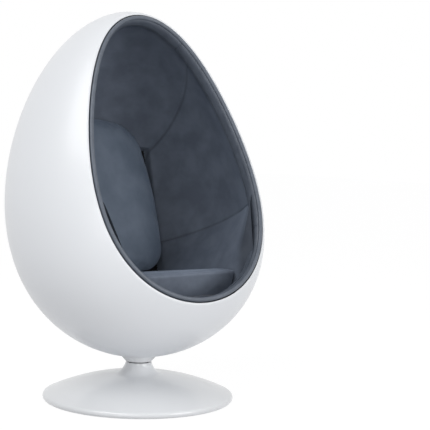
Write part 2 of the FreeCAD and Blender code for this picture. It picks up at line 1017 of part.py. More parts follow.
def side_reach(depth, height, inset):
    """Half width of the egg at this inset, at a depth and a height."""
    near, far = 0.0, 2.0 * number("egg_girth")
    for _ in range(50):
        halfway = (near + far) / 2
        if egg_excess(Vector(halfway, depth, height), inset) < 0:
            near = halfway
        else:
            far = halfway
    return near


def bolster(side):
    """Block whose face slopes from the lower side seam down to the seat's side."""
    rise = math.tan(math.radians(number("lower_seam_rise")))
    floor = number("neck_top")
    outside = 2 * number("egg_girth")
    wires = []
    for depth in BOLSTER_STATIONS:
        seam = number("lower_seam_height") + (number("lower_seam_depth") - depth) * rise
        foot = seat_side(depth) + number("bolster_gap")
        height = seat_plane(depth, 0).value
        profile = [
            (foot, floor),
            (foot, height),
            (max(foot + 1, side_reach(depth, seam, lining_inset)), seam),
            (outside, seam),
            (outside, floor),
        ]
        corners = [Vector(side * x, depth, z) for x, z in profile]
        wires.append(Part.makePolygon(corners + corners[:1]))
    return Part.makeLoft(wires, True, True)


BOLSTER_STATIONS = (-330, -260, -205, -70, 65, 160, 255, 300)
recess = doc.addObject("Part::Feature", "recess")
recess.Shape = recess_face().extrude(Vector(0, 2 * number("egg_girth"), 0))
recess.Placement = Placement(Vector(0, number("seat_back") / 2, 0), Rotation())
bolsters = doc.addObject("Part::Feature", "bolsters")
bolsters.Shape = Part.makeCompound([bolster(1), bolster(-1)])
seat_clearance = doc.addObject("Part::Feature", "seat_clearance")
seat_clearance.Shape = seat_block(number("bolster_gap"))
lining = common(
    "lining_behind_roll",
    cut("lining_closed", egg_lining, egg_cabin),
    behind_rim("behind_roll", lining_front),
)
lining_cut = cut("lining_open", lining, recess)
cabin_below = cut("cabin_below", cut("cabin_open", egg_cabin, bolsters), seat_clearance)
lower_closed = cut("lower_closed", cut("lower_layer", egg_lining, cabin_below), seat_clearance)
lower_behind_roll = common("lower_behind_roll", lower_closed, behind_rim("behind_roll_below", lining_front))
lower_cut = cut("lower_open", lower_behind_roll, recess)
upper_half = half_above(
    "upper_half", size("upper_seam_depth"), size("upper_seam_height"), size("upper_seam_rise")
)
lower_edge = half_above(
    "lower_edge", size("lower_seam_depth"), size("lower_seam_height"), size("lower_seam_rise")
)
right_half = half_right("right_half")
# the linings stop at the board, and run on down in front of it
seat_void = cut("seat_void", behind_seat_front, above_board)
zones = {
    "upper_lining": common("upper_zone", lining_cut, upper_half),
    "side_lining": cut(
        "side_zone", common("side_zone_above", lining_cut, lower_edge), upper_half
    ),
    "lower_lining": cut("lower_zone", cut("lower_zone_below", lower_cut, lower_edge), seat_void),
}
for zone, panel in zones.items():
    part(common(zone + "_right", panel, right_half), zone + "_right")
    part(cut(zone + "_left", panel, right_half), zone + "_left")

backing_inset = shell_wall + gap_fit + number("backing_thickness")
egg_backing = egg("egg_backing", backing_inset)
backing_zone = common("backing_zone", cut("backing_layer", egg_lining, egg_backing), recess)
part(common("recess_backing", backing_zone, above_board), "recess_backing")

# Rim trims

part(rim_tube("rim_roll", roll_inset, roll_ahead, roll_radius), "rim_roll")
part(rim_tube("rim_welt", welt_inset, 0, welt_radius), "rim_welt")


# Back cushion


CUSHION_BANDS = 9


def cushion_ring(spread, forward):
    """Outline of the cushion, shrunk about its middle and moved forward."""
    half_height = number("cushion_height") / 2
    corners = []
    for alias, side_up in (("head", 1), ("foot", -1)):
        radius = number("cushion_%s_radius" % alias)
        across = number("cushion_%s_half_width" % alias) - radius
        corners.append((across, side_up * (half_height - radius), radius))
    (head_x, head_y, head_r), (foot_x, foot_y, foot_r) = corners
    run = [
        (head_x, head_y, head_r, 0),
        (-head_x, head_y, head_r, 90),
        (-foot_x, foot_y, foot_r, 180),
        (foot_x, foot_y, foot_r, 270),
    ]
    bulge = number("cushion_side_bulge")

    def at(corner, turn):
        x, y, radius, start = corner
        angle = math.radians(start + turn)
        x, y = x + radius * math.cos(angle), y + radius * math.sin(angle)
        return Vector(x * spread, -forward, half_height + y * spread)

    edges = []
    for index, corner in enumerate(run):
        after = run[(index + 1) % len(run)]
        edges.append(Part.Arc(*(at(corner, turn) for turn in (0, 45, 90))).toShape())
        start, end = at(corner, 90), at(after, 0)
        way = (end - start).normalize()
        outward = Vector(way.z, 0, -way.x) * (-bulge * spread)
        edges.append(Part.Arc(start, (start + end) * 0.5 - outward, end).toShape())
    return Part.Wire(edges)


def cushion_solid():
    """Crowned pillow, as bands between outlines that grow and shrink again."""
    half_thick = number("cushion_thickness") / 2
    rings = []
    for band in range(1, CUSHION_BANDS):
        theta = math.pi * band / CUSHION_BANDS
        face = math.cos(theta)
        crown = face * math.sqrt((1 - 0.35 * face**2) / 0.65)
        rings.append(cushion_ring(math.sin(theta), half_thick * crown))
    return Part.makeLoft(rings, True, True)


cushion = doc.addObject("Part::Feature", "cushion_free")
cushion.Shape = cushion_solid()
cushion_depth = number("cushion_foot_depth")
cushion.Placement = Placement(
    Vector(0, cushion_depth, seat_plane(cushion_depth, 0).value + number("cushion_rest")),
    Rotation(Vector(1, 0, 0), -number("cushion_lean")),
)
# it is pressed flat where it rests on the lining and on the pad
above_pad = above_seat_plane("above_pad", -gap_fit)
part(common("back_cushion", common("cushion_in_lining", cushion, egg_seat), above_pad), "back_cushion")

# Check and write

doc.recompute()
for obj in doc.Objects:
    if "Invalid" in obj.State or "Error" in obj.State:
        raise RuntimeError("%s failed: %s" % (obj.Label, obj.State))
for obj in parts:
    if obj.Shape.isNull() or not obj.Shape.isValid() or not obj.Shape.Solids:
        raise RuntimeError("%s has no sound solid" % obj.Label)

os.makedirs("parts", exist_ok=True)
for obj in parts:
    obj.Shape.exportStep("parts/%s.step" % obj.Label)
print("%d parts written" % len(parts))
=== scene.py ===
"""The looks of the pod chair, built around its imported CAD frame.

All forms are in metres in the frame's own axes: +Z up, the chair opens towards -Y.
"""

import json
import logging
import math
from dataclasses import dataclass, field
from enum import Enum
from typing import Callable

import bpy
import numpy as np
from mathutils import Matrix, Vector

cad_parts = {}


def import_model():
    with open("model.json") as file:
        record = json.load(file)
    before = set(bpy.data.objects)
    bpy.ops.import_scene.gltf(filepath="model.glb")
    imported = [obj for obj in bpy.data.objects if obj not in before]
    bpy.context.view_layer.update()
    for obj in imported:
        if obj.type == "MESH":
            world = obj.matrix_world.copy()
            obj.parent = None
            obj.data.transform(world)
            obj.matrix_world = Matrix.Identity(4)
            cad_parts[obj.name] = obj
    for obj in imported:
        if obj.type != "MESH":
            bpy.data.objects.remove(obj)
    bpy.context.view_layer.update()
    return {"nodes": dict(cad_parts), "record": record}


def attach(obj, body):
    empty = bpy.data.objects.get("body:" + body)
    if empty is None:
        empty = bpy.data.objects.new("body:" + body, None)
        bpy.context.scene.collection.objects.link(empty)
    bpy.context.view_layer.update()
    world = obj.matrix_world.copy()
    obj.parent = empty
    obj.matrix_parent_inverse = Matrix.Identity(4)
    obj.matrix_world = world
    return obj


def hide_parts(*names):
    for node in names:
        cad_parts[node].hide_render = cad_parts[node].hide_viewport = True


log = logging.getLogger("pod_chair")
UP = np.array([0.0, 0.0, 1.0])
SHADE = "seam_shade"
HALVINGS = 36
REACH = 1.3
CABIN_REACH = 0.8
PRESS_TRIES = 60
PRESS_STEP = np.array([0.0, -0.0008, 0.0])
CHAIR_MIDDLE = 0.65
Tree = bpy.types.NodeTree
Socket = bpy.types.NodeSocket


def smoothstep(values: np.ndarray) -> np.ndarray:
    """Ease values from 0 to 1 and hold them outside that stretch."""
    t = np.clip(values, 0.0, 1.0)
    return t * t * (3.0 - 2.0 * t)


def halve(
    blocked: Callable[[np.ndarray], np.ndarray], origin: np.ndarray, ways: np.ndarray, reach: float
) -> np.ndarray:
    """Walk from an origin along many directions to where the way is blocked.

    Args:
        blocked: says for an array of points which of them are blocked.
        origin: the start, or one start per direction.
        ways: unit directions.
        reach: a distance at which every way is blocked.

    Returns:
        The last free point along each direction.
    """
    near = np.zeros(ways.shape[:-1])
    far = np.full(ways.shape[:-1], reach)
    for _ in range(HALVINGS):
        halfway = (near + far) / 2
        stop = blocked(origin + ways * halfway[..., None])
        far = np.where(stop, halfway, far)
        near = np.where(stop, near, halfway)
    return origin + ways * near[..., None]


@dataclass(frozen=True)
class Egg:
    """The shell's form: elliptical sections along an axis that leans back."""

    half_length: float = 0.580
    girth: float = 0.397
    width_ratio: float = 1.097
    taper: float = 0.213
    fullness: float = 0.046
    crown: float = -0.038
    depth_taper: float = -0.040
    depth_flare: float = -0.045
    bow: float = 0.040
    bow_taper: float = -0.043
    lean: float = math.radians(9.45)
    centre: tuple[float, float] = (0.0186, 0.7247)
    wall: float = 0.005
    rim_tilt: float = math.radians(22)
    rim_depth: float = -0.199
    rim_lift: float = 0.15

    def excess(self, points: np.ndarray, inset: np.ndarray | float) -> np.ndarray:
        """Below zero inside the egg at this inset, above zero outside.

        Args:
            points: points as rows of x, y and z.
            inset: distance inside the outer surface.

        Returns:
            One number per point.
        """
        x = points[..., 0]
        y = points[..., 1] - self.centre[0]
        z = points[..., 2] - self.centre[1]
        across = y * math.cos(self.lean) - z * math.sin(self.lean)
        along = y * math.sin(self.lean) + z * math.cos(self.lean)
        c = np.clip(-along / (self.half_length - inset), -0.99999, 0.99999)
        s = np.sqrt(1 - c * c)
        girth = self.girth * (1 + self.taper * c + self.fullness * c**2 + self.crown * c**3)
        flare = 1 + self.depth_taper * c + self.depth_flare * c**2
        bow = (1 - c * c) * (self.bow + self.bow_taper * c)
        wide = (girth * self.width_ratio - inset) * s
        deep = (girth * flare - inset) * s
        ring = (x / wide) ** 2 + ((across - bow) / deep) ** 2 - 1
        return np.where(np.abs(along) >= self.half_length - inset, 1.0, ring)

    @property
    def rim_up(self) -> np.ndarray:
        """Direction up the rim plane."""
        return np.array([0.0, math.sin(self.rim_tilt), math.cos(self.rim_tilt)])

    @property
    def rim_out(self) -> np.ndarray:
        """Direction out of the opening, square to the rim plane."""
        return np.array([0.0, -math.cos(self.rim_tilt), math.sin(self.rim_tilt)])

    def rim_middle(self, ahead: float) -> np.ndarray:
        """Middle of the rim plane, moved out of the opening."""
        base = np.array([0.0, self.rim_depth, self.centre[1]])
        return base + self.rim_out * ahead + self.rim_up * (self.rim_lift * self.half_length)

    def ways(self, turn: np.ndarray, open_angle: np.ndarray) -> np.ndarray:
        """Directions round the rim's middle: a right open angle lies in the rim plane."""
        side = np.sin(turn)[..., None] * np.array([1.0, 0.0, 0.0])
        side = side + np.cos(turn)[..., None] * self.rim_up
        return side * np.sin(open_angle)[..., None] - self.rim_out * np.cos(open_angle)[..., None]

    def reached(self, inset: float, start: np.ndarray, ways: np.ndarray) -> np.ndarray:
        """Where directions from a start inside the egg meet its surface at an inset."""
        return halve(lambda p: self.excess(p, inset) > 0, start, ways, REACH)

    def rim_ring(self, inset: float, ahead: float, count: int) -> np.ndarray:
        """Points of the rim at an inset, in the rim plane moved ahead.

        Args:
            inset: distance inside the outer surface.
            ahead: distance that the rim plane is moved out of the opening.
            count: points in each ring.

        Returns:
            The points.
        """
        turn = np.arange(count) * (2 * math.pi / count)
        ways = self.ways(turn, np.full(count, math.pi / 2))
        middle = self.rim_middle(ahead)
        return self.reached(inset, middle, ways)

    def cup_ways(self, rows: int, count: int) -> np.ndarray:
        """Directions of a grid from the rim to near the middle of the back."""
        turn = np.arange(count) * (2 * math.pi / count)
        angle = (math.pi / 2) * (1 - np.arange(rows) / rows)
        return self.ways(np.broadcast_to(turn, (rows, count)), angle[:, None] + 0 * turn)

    def cup(self, inset: float, ahead: float, rows: int, count: int) -> np.ndarray:
        """Grid of the whole egg behind a rim plane moved ahead."""
        ways = self.cup_ways(rows, count)
        return self.reached(inset, self.rim_middle(ahead), ways)

    def cup_pole(self, inset: float, ahead: float) -> np.ndarray:
        """Middle of the back, where a cup grid closes."""
        way = -self.rim_out[None]
        return self.reached(inset, self.rim_middle(ahead), way)[0]


EGG = Egg()


# Meshes


def new_mesh(name: str, points: np.ndarray, quads: np.ndarray, tris: np.ndarray) -> bpy.types.Object:
    """Make a smooth mesh object from arrays of points, quads and triangles.

    Args:
        name: the new object's name.
        points: points as rows of x, y and z.
        quads: corners of the four-sided faces.
        tris: corners of the three-sided faces.

    Returns:
        The object.
    """
    mesh = bpy.data.meshes.new(name)
    loops = np.concatenate([quads.ravel(), tris.ravel()]).astype(np.int32)
    sizes = np.concatenate([np.full(len(quads), 4), np.full(len(tris), 3)])
    mesh.vertices.add(len(points))
    mesh.vertices.foreach_set("co", points.astype(np.float32).ravel())
    mesh.loops.add(len(loops))
    mesh.loops.foreach_set("vertex_index", loops)
    mesh.polygons.add(len(sizes))
    starts = np.concatenate([[0], np.cumsum(sizes)[:-1]]).astype(np.int32)
    mesh.polygons.foreach_set("loop_start", starts)
    mesh.polygons.foreach_set("use_smooth", np.ones(len(sizes), bool))
    mesh.update(calc_edges=True)
    mesh.validate()
    obj = bpy.data.objects.new(name, mesh)
    bpy.context.scene.collection.objects.link(obj)
    return obj


def grid_quads(rows: int, count: int, wrap_rows: bool = False) -> np.ndarray:
    """Quads of a grid whose columns close into rings.

    Args:
        rows: rings in the grid.
        count: points in each ring.
        wrap_rows: whether the last ring joins the first.

    Returns:
        Corners of the faces.
    """
    last = rows if wrap_rows else rows - 1
    row = np.arange(last)[:, None]
    col = np.arange(count)[None, :]
    after = (col + 1) % count
    below = (row + 1) % rows
    corners = [row * count + col, row * count + after, below * count + after, below * count + col]
    return np.stack(np.broadcast_arrays(*corners), axis=-1).reshape(-1, 4)


def fan(start: int, count: int, tip: int, flip: bool) -> np.ndarray:
    """Triangles that close a ring onto one tip point.

    Args:
        start: number of the ring's first point.
        count: points in each ring.
        tip: number of the tip point.
        flip: whether the faces turn the other way.

    Returns:
        Corners of the faces.
    """
    col = np.arange(count)
    after = (col + 1) % count
    ring = (start + after, start + col) if flip else (start + col, start + after)
    return np.stack([ring[0], ring[1], np.full(count, tip)], axis=-1)


def closed_rings(name: str, grid: np.ndarray, first: np.ndarray, last: np.ndarray) -> bpy.types.Object:
    """Closed surface of rings in order, with a tip point at each end.

    Args:
        name: the new object's name.
        grid: rings of points.
        first: tip before the first ring.
        last: tip after the last ring.

    Returns:
        The object.
    """
    rows, count = grid.shape[:2]
    points = np.concatenate([grid.reshape(-1, 3), [first, last]])
    quads = grid_quads(rows, count)
    total = rows * count
    tris = np.concatenate(
        [fan(0, count, total, True), fan(total - count, count, total + 1, False)]
    )
    return face_outwards(name, points, quads, tris)


def signed_volume(points: np.ndarray, quads: np.ndarray, tris: np.ndarray) -> float:
    """Volume enclosed by faces, below zero when they face inwards."""
    faces = np.concatenate([quads[:, [0, 1, 2]], quads[:, [0, 2, 3]], tris])
    a, b, c = (points[faces[:, k]] for k in range(3))
    return float(np.einsum("ij,ij->i", a, np.cross(b, c)).sum() / 6)


def face_outwards(
    name: str, points: np.ndarray, quads: np.ndarray, tris: np.ndarray
) -> bpy.types.Object:
    """Make a closed mesh whose faces look outwards."""
    if signed_volume(points, quads, tris) < 0:
        quads, tris = quads[:, ::-1], tris[:, ::-1]
    return new_mesh(name, points, quads, tris)


def tube(
    name: str, line: np.ndarray, outward: np.ndarray, ahead: np.ndarray, around: int, radius: np.ndarray
) -> bpy.types.Object:
    """Closed tube round a closed line.

    Args:
        name: the new object's name.
        line: points of the tube's middle.
        outward: unit direction of the section's first axis at each point.
        ahead: direction and length of the section's second axis, in radii.
        around: points in each section.
        radius: radius at each point.

    Returns:
        The tube as an object.
    """
    turn = np.arange(around) * (2 * math.pi / around)
    ring = np.cos(turn)[None, :, None] * outward[:, None] + np.sin(turn)[None, :, None] * ahead
    points = line[:, None] + ring * radius[:, None, None]
    quads = grid_quads(len(line), around, wrap_rows=True)
    return face_outwards(name, points.reshape(-1, 3), quads, np.zeros((0, 3), int))


def turned(name: str, profile: np.ndarray, count: int = 256) -> bpy.types.Object:
    """Closed surface of a closed profile of (radius, height) turned about Z.

    Args:
        name: the new object's name.
        profile: closed outline as (radius, height).
        count: points in each ring.

    Returns:
        The object.
    """
    turn = np.arange(count) * (2 * math.pi / count)
    ring = np.stack([np.cos(turn), np.sin(turn)], axis=-1)
    points = np.empty((len(profile), count, 3))
    points[..., :2] = profile[:, None, :1] * ring[None]
    points[..., 2] = profile[:, None, 1]
    quads = grid_quads(len(profile), count, wrap_rows=True)
    return face_outwards(name, points.reshape(-1, 3), quads, np.zeros((0, 3), int))


# Finishes


def add_node(
    tree: Tree, kind: str, even: dict[str | int, object], linked: dict[str | int, Socket]
) -> bpy.types.Node:
    """Add a shader node.

    Args:
        tree: the material's nodes.
        kind: the node's type, without its first word.
        even: inputs that hold one value.
        linked: inputs that take another node's output.

    Returns:
        The node.
    """
    node = tree.nodes.new("ShaderNode" + kind)
    for key, value in even.items():
        node.inputs[key].default_value = value
    for key, socket in linked.items():
        tree.links.new(socket, node.inputs[key])
    return node


class Pattern(Enum):
    """How a finish varies over a piece."""

    EVEN = "even"
    NAP = "nap"
    HIDE = "hide"
    GRAIN = "grain"
    BRUSHED = "brushed"


@dataclass(frozen=True)
class Finish:
    """One material, described by its colours, gloss and surface pattern."""

    name: str
    colour: tuple[float, float, float]
    second: tuple[float, float, float]
    roughness: float
    pattern: Pattern = Pattern.EVEN
    mottle: float = 8.0
    fine: float = 900.0
    bump: float = 0.1
    bump_depth: float = 0.0004
    metallic: float = 0.0
    sheen: float = 0.0
    coat: float = 0.0
    # Whether the colour takes the painted shade that a piece carries in its point attribute.
    takes_painted_shade: bool = False
    sheen_roughness: float = 0.45
    sheen_tint: tuple[float, float, float, float] = (0.55, 0.66, 0.85, 1)
    coat_roughness: float = 0.12
    cloud_range: tuple[float, float] = (0.35, 0.65)
    gloss_swing: float = 0.08
    stretch: tuple[float, float, float] = (6.0, 0.4, 6.0)

    def build(self) -> bpy.types.Material:
        """Make the node material: a noise blends two colours and the gloss, a finer one bumps it.

        Returns:
            The material.
        """
        material = bpy.data.materials.new(self.name)
        material.use_nodes = True
        tree = material.node_tree
        shader = tree.nodes["Principled BSDF"]
        even = {
            "Metallic": self.metallic,
            "Sheen Weight": self.sheen,
            "Sheen Roughness": self.sheen_roughness,
            "Sheen Tint": self.sheen_tint,
            "Coat Weight": self.coat,
            "Coat Roughness": self.coat_roughness,
        }
        for key, value in even.items():
            shader.inputs[key].default_value = value
        place = tree.nodes.new("ShaderNodeTexCoord").outputs["Object"]
        cloud = self._noise(tree, self._stretched(tree, place), self.mottle, 4.0)
        low, high = self.cloud_range
        share = add_node(tree, "MapRange", {"From Min": low, "From Max": high}, {"Value": cloud})
        mix = add_node(
            tree, "Mix", {6: (*self.colour, 1), 7: (*self.second, 1)}, {0: share.outputs["Result"]}
        )
        mix.data_type = "RGBA"
        tree.links.new(self._darkened(tree, mix.outputs[2]), shader.inputs["Base Color"])
        swing = self.gloss_swing
        ends = {
            "To Min": self.roughness * (1 - swing),
            "To Max": min(1.0, self.roughness * (1 + swing)),
        }
        gloss = add_node(tree, "MapRange", ends, {"Value": cloud})
        tree.links.new(gloss.outputs["Result"], shader.inputs["Roughness"])
        height = self._relief(tree, place)
        depth = {"Strength": self.bump, "Distance": self.bump_depth}
        relief = add_node(tree, "Bump", depth, {"Height": height})
        tree.links.new(relief.outputs["Normal"], shader.inputs["Normal"])
        return material

    def _darkened(self, tree: Tree, colour: Socket) -> Socket:
        """The colour, darkened by the piece's point attribute, which holds the shade painted into its
        seam grooves and into the tuck behind the rim roll.

        Args:
            tree: the material's nodes.
            colour: the base colour.

        Returns:
            The colour to use.
        """
        if not self.takes_painted_shade:
            return colour
        shade = tree.nodes.new("ShaderNodeAttribute")
        shade.attribute_name = SHADE
        left = add_node(tree, "Math", {0: 1.0}, {1: shade.outputs["Fac"]})
        left.operation = "SUBTRACT"
        scale = tree.nodes.new("ShaderNodeVectorMath")
        scale.operation = "SCALE"
        tree.links.new(colour, scale.inputs[0])
        tree.links.new(left.outputs[0], scale.inputs["Scale"])
        return scale.outputs[0]

    def _noise(self, tree: Tree, vector: Socket, scale: float, detail: float) -> Socket:
        """Noise texture output at a scale."""
        even = {"Scale": scale, "Detail": detail}
        return add_node(tree, "TexNoise", even, {"Vector": vector}).outputs["Fac"]

    def _stretched(self, tree: Tree, vector: Socket) -> Socket:
        """The vector, drawn out along one axis for wood and brushed metal.

        Args:
            tree: the material's nodes.
            vector: coordinates.

        Returns:
            The coordinates to use.
        """
        if self.pattern not in (Pattern.GRAIN, Pattern.BRUSHED):
            return vector
        node = add_node(tree, "Mapping", {"Scale": self.stretch}, {"Vector": vector})
        return node.outputs["Vector"]

    def _relief(self, tree: Tree, place: Socket) -> Socket:
        """Height field of the finish.

        Args:
            tree: the material's nodes.
            place: object coordinates.

        Returns:
            The height.
        """
        if self.pattern is Pattern.HIDE:
            node = add_node(tree, "TexVoronoi", {"Scale": self.fine}, {"Vector": place})
            return node.outputs["Distance"]
        return self._noise(tree, self._stretched(tree, place), self.fine, 3.0)


FINISHES = {
    "shell_gelcoat": Finish("white gel-coat", (0.800, 0.820, 0.850), (0.790, 0.810, 0.840), 0.34,
                            mottle=2.0, fine=40.0, bump=0.03, coat=0.15),
    "pedestal_paint": Finish("white enamel", (0.750, 0.765, 0.785), (0.740, 0.755, 0.775), 0.28,
                             mottle=2.0, fine=60.0, bump=0.03, coat=0.35),
    # Same white enamel as the pedestal, made lighter as painted light against the shade under the
    # shell.
    "hub_aluminium": Finish("enamelled casting", (0.860, 0.870, 0.885), (0.840, 0.850, 0.870), 0.25,
                            mottle=6.0, fine=150.0, bump=0.05, coat=0.3),
    # Lining suede, darkened by painted shade along its seams and behind the rim roll.
    "lining_suede": Finish("blue-grey suede", (0.112, 0.134, 0.176), (0.156, 0.184, 0.234), 0.78,
                           Pattern.NAP, mottle=14.0, fine=1400.0, bump=0.35, bump_depth=0.0006,
                           sheen=0.3, takes_painted_shade=True),
    "cushion_velvet": Finish("blue-grey velvet", (0.106, 0.138, 0.188), (0.150, 0.186, 0.242), 0.7,
                             Pattern.NAP, mottle=11.0, fine=1500.0, bump=0.3, bump_depth=0.0005,
                             sheen=0.35),
    "rim_leather": Finish("dark satin leather", (0.088, 0.104, 0.132), (0.112, 0.130, 0.162), 0.40,
                          Pattern.HIDE, mottle=30.0, fine=700.0, bump=0.25, bump_depth=0.0003),
    # Backing cloth, its colour taken down to near black as painted shadow in the recess behind the
    # cushion.
    "recess_cloth": Finish("black backing cloth", (0.004, 0.004, 0.005), (0.007, 0.007, 0.008),
                           0.95, Pattern.NAP, mottle=20.0, fine=1600.0, bump=0.3),
    "raw_steel": Finish("turned steel", (0.52, 0.52, 0.53), (0.60, 0.60, 0.61), 0.3,
                        Pattern.BRUSHED, mottle=60.0, fine=300.0, bump=0.1, metallic=1.0),
    "ballast_iron": Finish("painted iron", (0.03, 0.03, 0.033), (0.045, 0.045, 0.05), 0.55,
                           mottle=30.0, fine=400.0, bump=0.3),
    "bush_polymer": Finish("bearing polymer", (0.05, 0.05, 0.055), (0.06, 0.06, 0.065), 0.5,
                           mottle=40.0, fine=600.0, bump=0.1),
    "felt": Finish("pressed felt", (0.015, 0.015, 0.015), (0.03, 0.03, 0.03), 0.95,
                   Pattern.NAP, mottle=120.0, fine=1500.0, bump=0.6, sheen=0.3),
    "timber": Finish("hardwood", (0.42, 0.27, 0.14), (0.30, 0.18, 0.09), 0.55,
                     Pattern.GRAIN, mottle=14.0, fine=90.0, bump=0.2),
    "plywood": Finish("birch ply", (0.55, 0.40, 0.24), (0.44, 0.30, 0.17), 0.55,
                      Pattern.GRAIN, mottle=12.0, fine=80.0, bump=0.15),
}


class Wardrobe:
    """Builds each finish once and hands it to pieces."""

    def __init__(self) -> None:
        self._made: dict[str, bpy.types.Material] = {}

    def dress(self, obj: bpy.types.Object, slot: str) -> None:
        """Give an object the finish of a record's slot.

        Args:
            obj: the piece.
            slot: name of the finish in the record's slots.
        """
        if slot not in self._made:
            self._made[slot] = FINISHES[slot].build()
        obj.data.materials.clear()
        obj.data.materials.append(self._made[slot])

    def piece(self, obj: bpy.types.Object, slot: str, body: str, *nodes: str) -> bpy.types.Object:
        """Dress a new piece, let it ride on a body and stand for CAD nodes.

        Args:
            obj: the piece.
            slot: name of the finish in the record's slots.
            body: the body that it rides on.
            nodes: CAD nodes that it stands for.

        Returns:
            The piece.
        """
        self.dress(obj, slot)
        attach(obj, body)
        if nodes:
            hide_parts(*nodes)
        log.info("%s: %d faces", obj.name, len(obj.data.polygons))
        return obj


# Pieces


@dataclass
class Shell:
    """The moulded egg with its rounded lip."""

    rows: int = 100
    count: int = 440
    lip: float = 0.0018
    lip_points: int = 9
    lip_fullness: float = 0.6

    def build(self) -> bpy.types.Object:
        """Outer face, lip and inner face as one closed surface."""
        wall = EGG.wall
        outer = EGG.cup(0.0, -self.lip, self.rows, self.count)[::-1]
        inner = EGG.cup(wall, -self.lip, self.rows, self.count)
        lip = []
        for a in np.linspace(0, math.pi, self.lip_points)[1:-1]:
            across = math.copysign(abs(math.cos(a)) ** self.lip_fullness, math.cos(a))
            back = self.lip * (1 - math.sin(a) ** self.lip_fullness)
            lip.append(EGG.rim_ring(wall / 2 * (1 - across), -back, self.count))
        grid = np.concatenate([outer, np.stack(lip), inner])
        return closed_rings(
            "shell", grid, EGG.cup_pole(0.0, -self.lip), EGG.cup_pole(wall, -self.lip)
        )


@dataclass
class RimTrim:
    """Padded tube that follows the rim, closed by butt joins."""

    name: str
    inset: float
    ahead: float
    radius: float
    depth_ratio: float = 1.0
    joins: tuple[float, ...] = ()
    join_depth: float = 0.0016
    join_width: float = 0.0022
    rim_radius: float = 0.45
    unevenness: float = 0.012
    waves: tuple[int, int] = (37, 11)
    count: int = 900
    around: int = 36

    def build(self) -> bpy.types.Object:
        """The tube, pinched at each join."""
        line = EGG.rim_ring(self.inset, self.ahead, self.count)
        way = np.roll(line, -1, axis=0) - np.roll(line, 1, axis=0)
        outward = np.cross(way, EGG.rim_out)
        outward /= np.linalg.norm(outward, axis=1, keepdims=True)
        turn = np.arange(self.count) * (2 * math.pi / self.count)
        radius = np.full(self.count, self.radius)
        for join in self.joins:
            gap = np.abs((turn - join + math.pi) % (2 * math.pi) - math.pi) * self.rim_radius
            radius -= self.join_depth * np.exp(-((gap / self.join_width) ** 2))
        short, long = self.waves
        radius *= 1 + self.unevenness * np.sin(turn * short) * np.sin(turn * long + 1.3)
        ahead = EGG.rim_out * self.depth_ratio
        return tube(self.name, line, outward, ahead, self.around, radius)


ROLL = RimTrim(
    "roll_cover",
    inset=0.0300,
    ahead=-0.0240,
    radius=0.0105,
    depth_ratio=2.3,
    joins=(0.35, 2.2, 4.0),
)
WELT = RimTrim("welt_cover", inset=0.0123, ahead=0.0, radius=0.007, joins=(0.15, 3.3))


@dataclass
class Seat:
    """Shared sizes of the seat: its top plane and its sides."""

    front: float = -0.205
    height: float = 0.446
    slope: float = math.radians(7.5)
    back: float = 0.240
    front_half: float = 0.250
    back_half: float = 0.260
    thickness: float = 0.088
    gap: float = 0.002

    def top(self, depth: np.ndarray | float) -> np.ndarray | float:
        """Height of the seat's top plane at a depth."""
        return self.height - (depth - self.front) * math.tan(self.slope)

    def side(self, depth: np.ndarray | float) -> np.ndarray | float:
        """Half width of the seat at a depth."""
        share = (depth - self.front) / (self.back - self.front)
        return self.front_half + (self.back_half - self.front_half) * share


SEAT = Seat()


class Panel(Enum):
    """Panels of the lining, in the order of their zone numbers."""

    UPPER = 0
    SIDE = 1
    LOWER = 2
    RECESS = 3


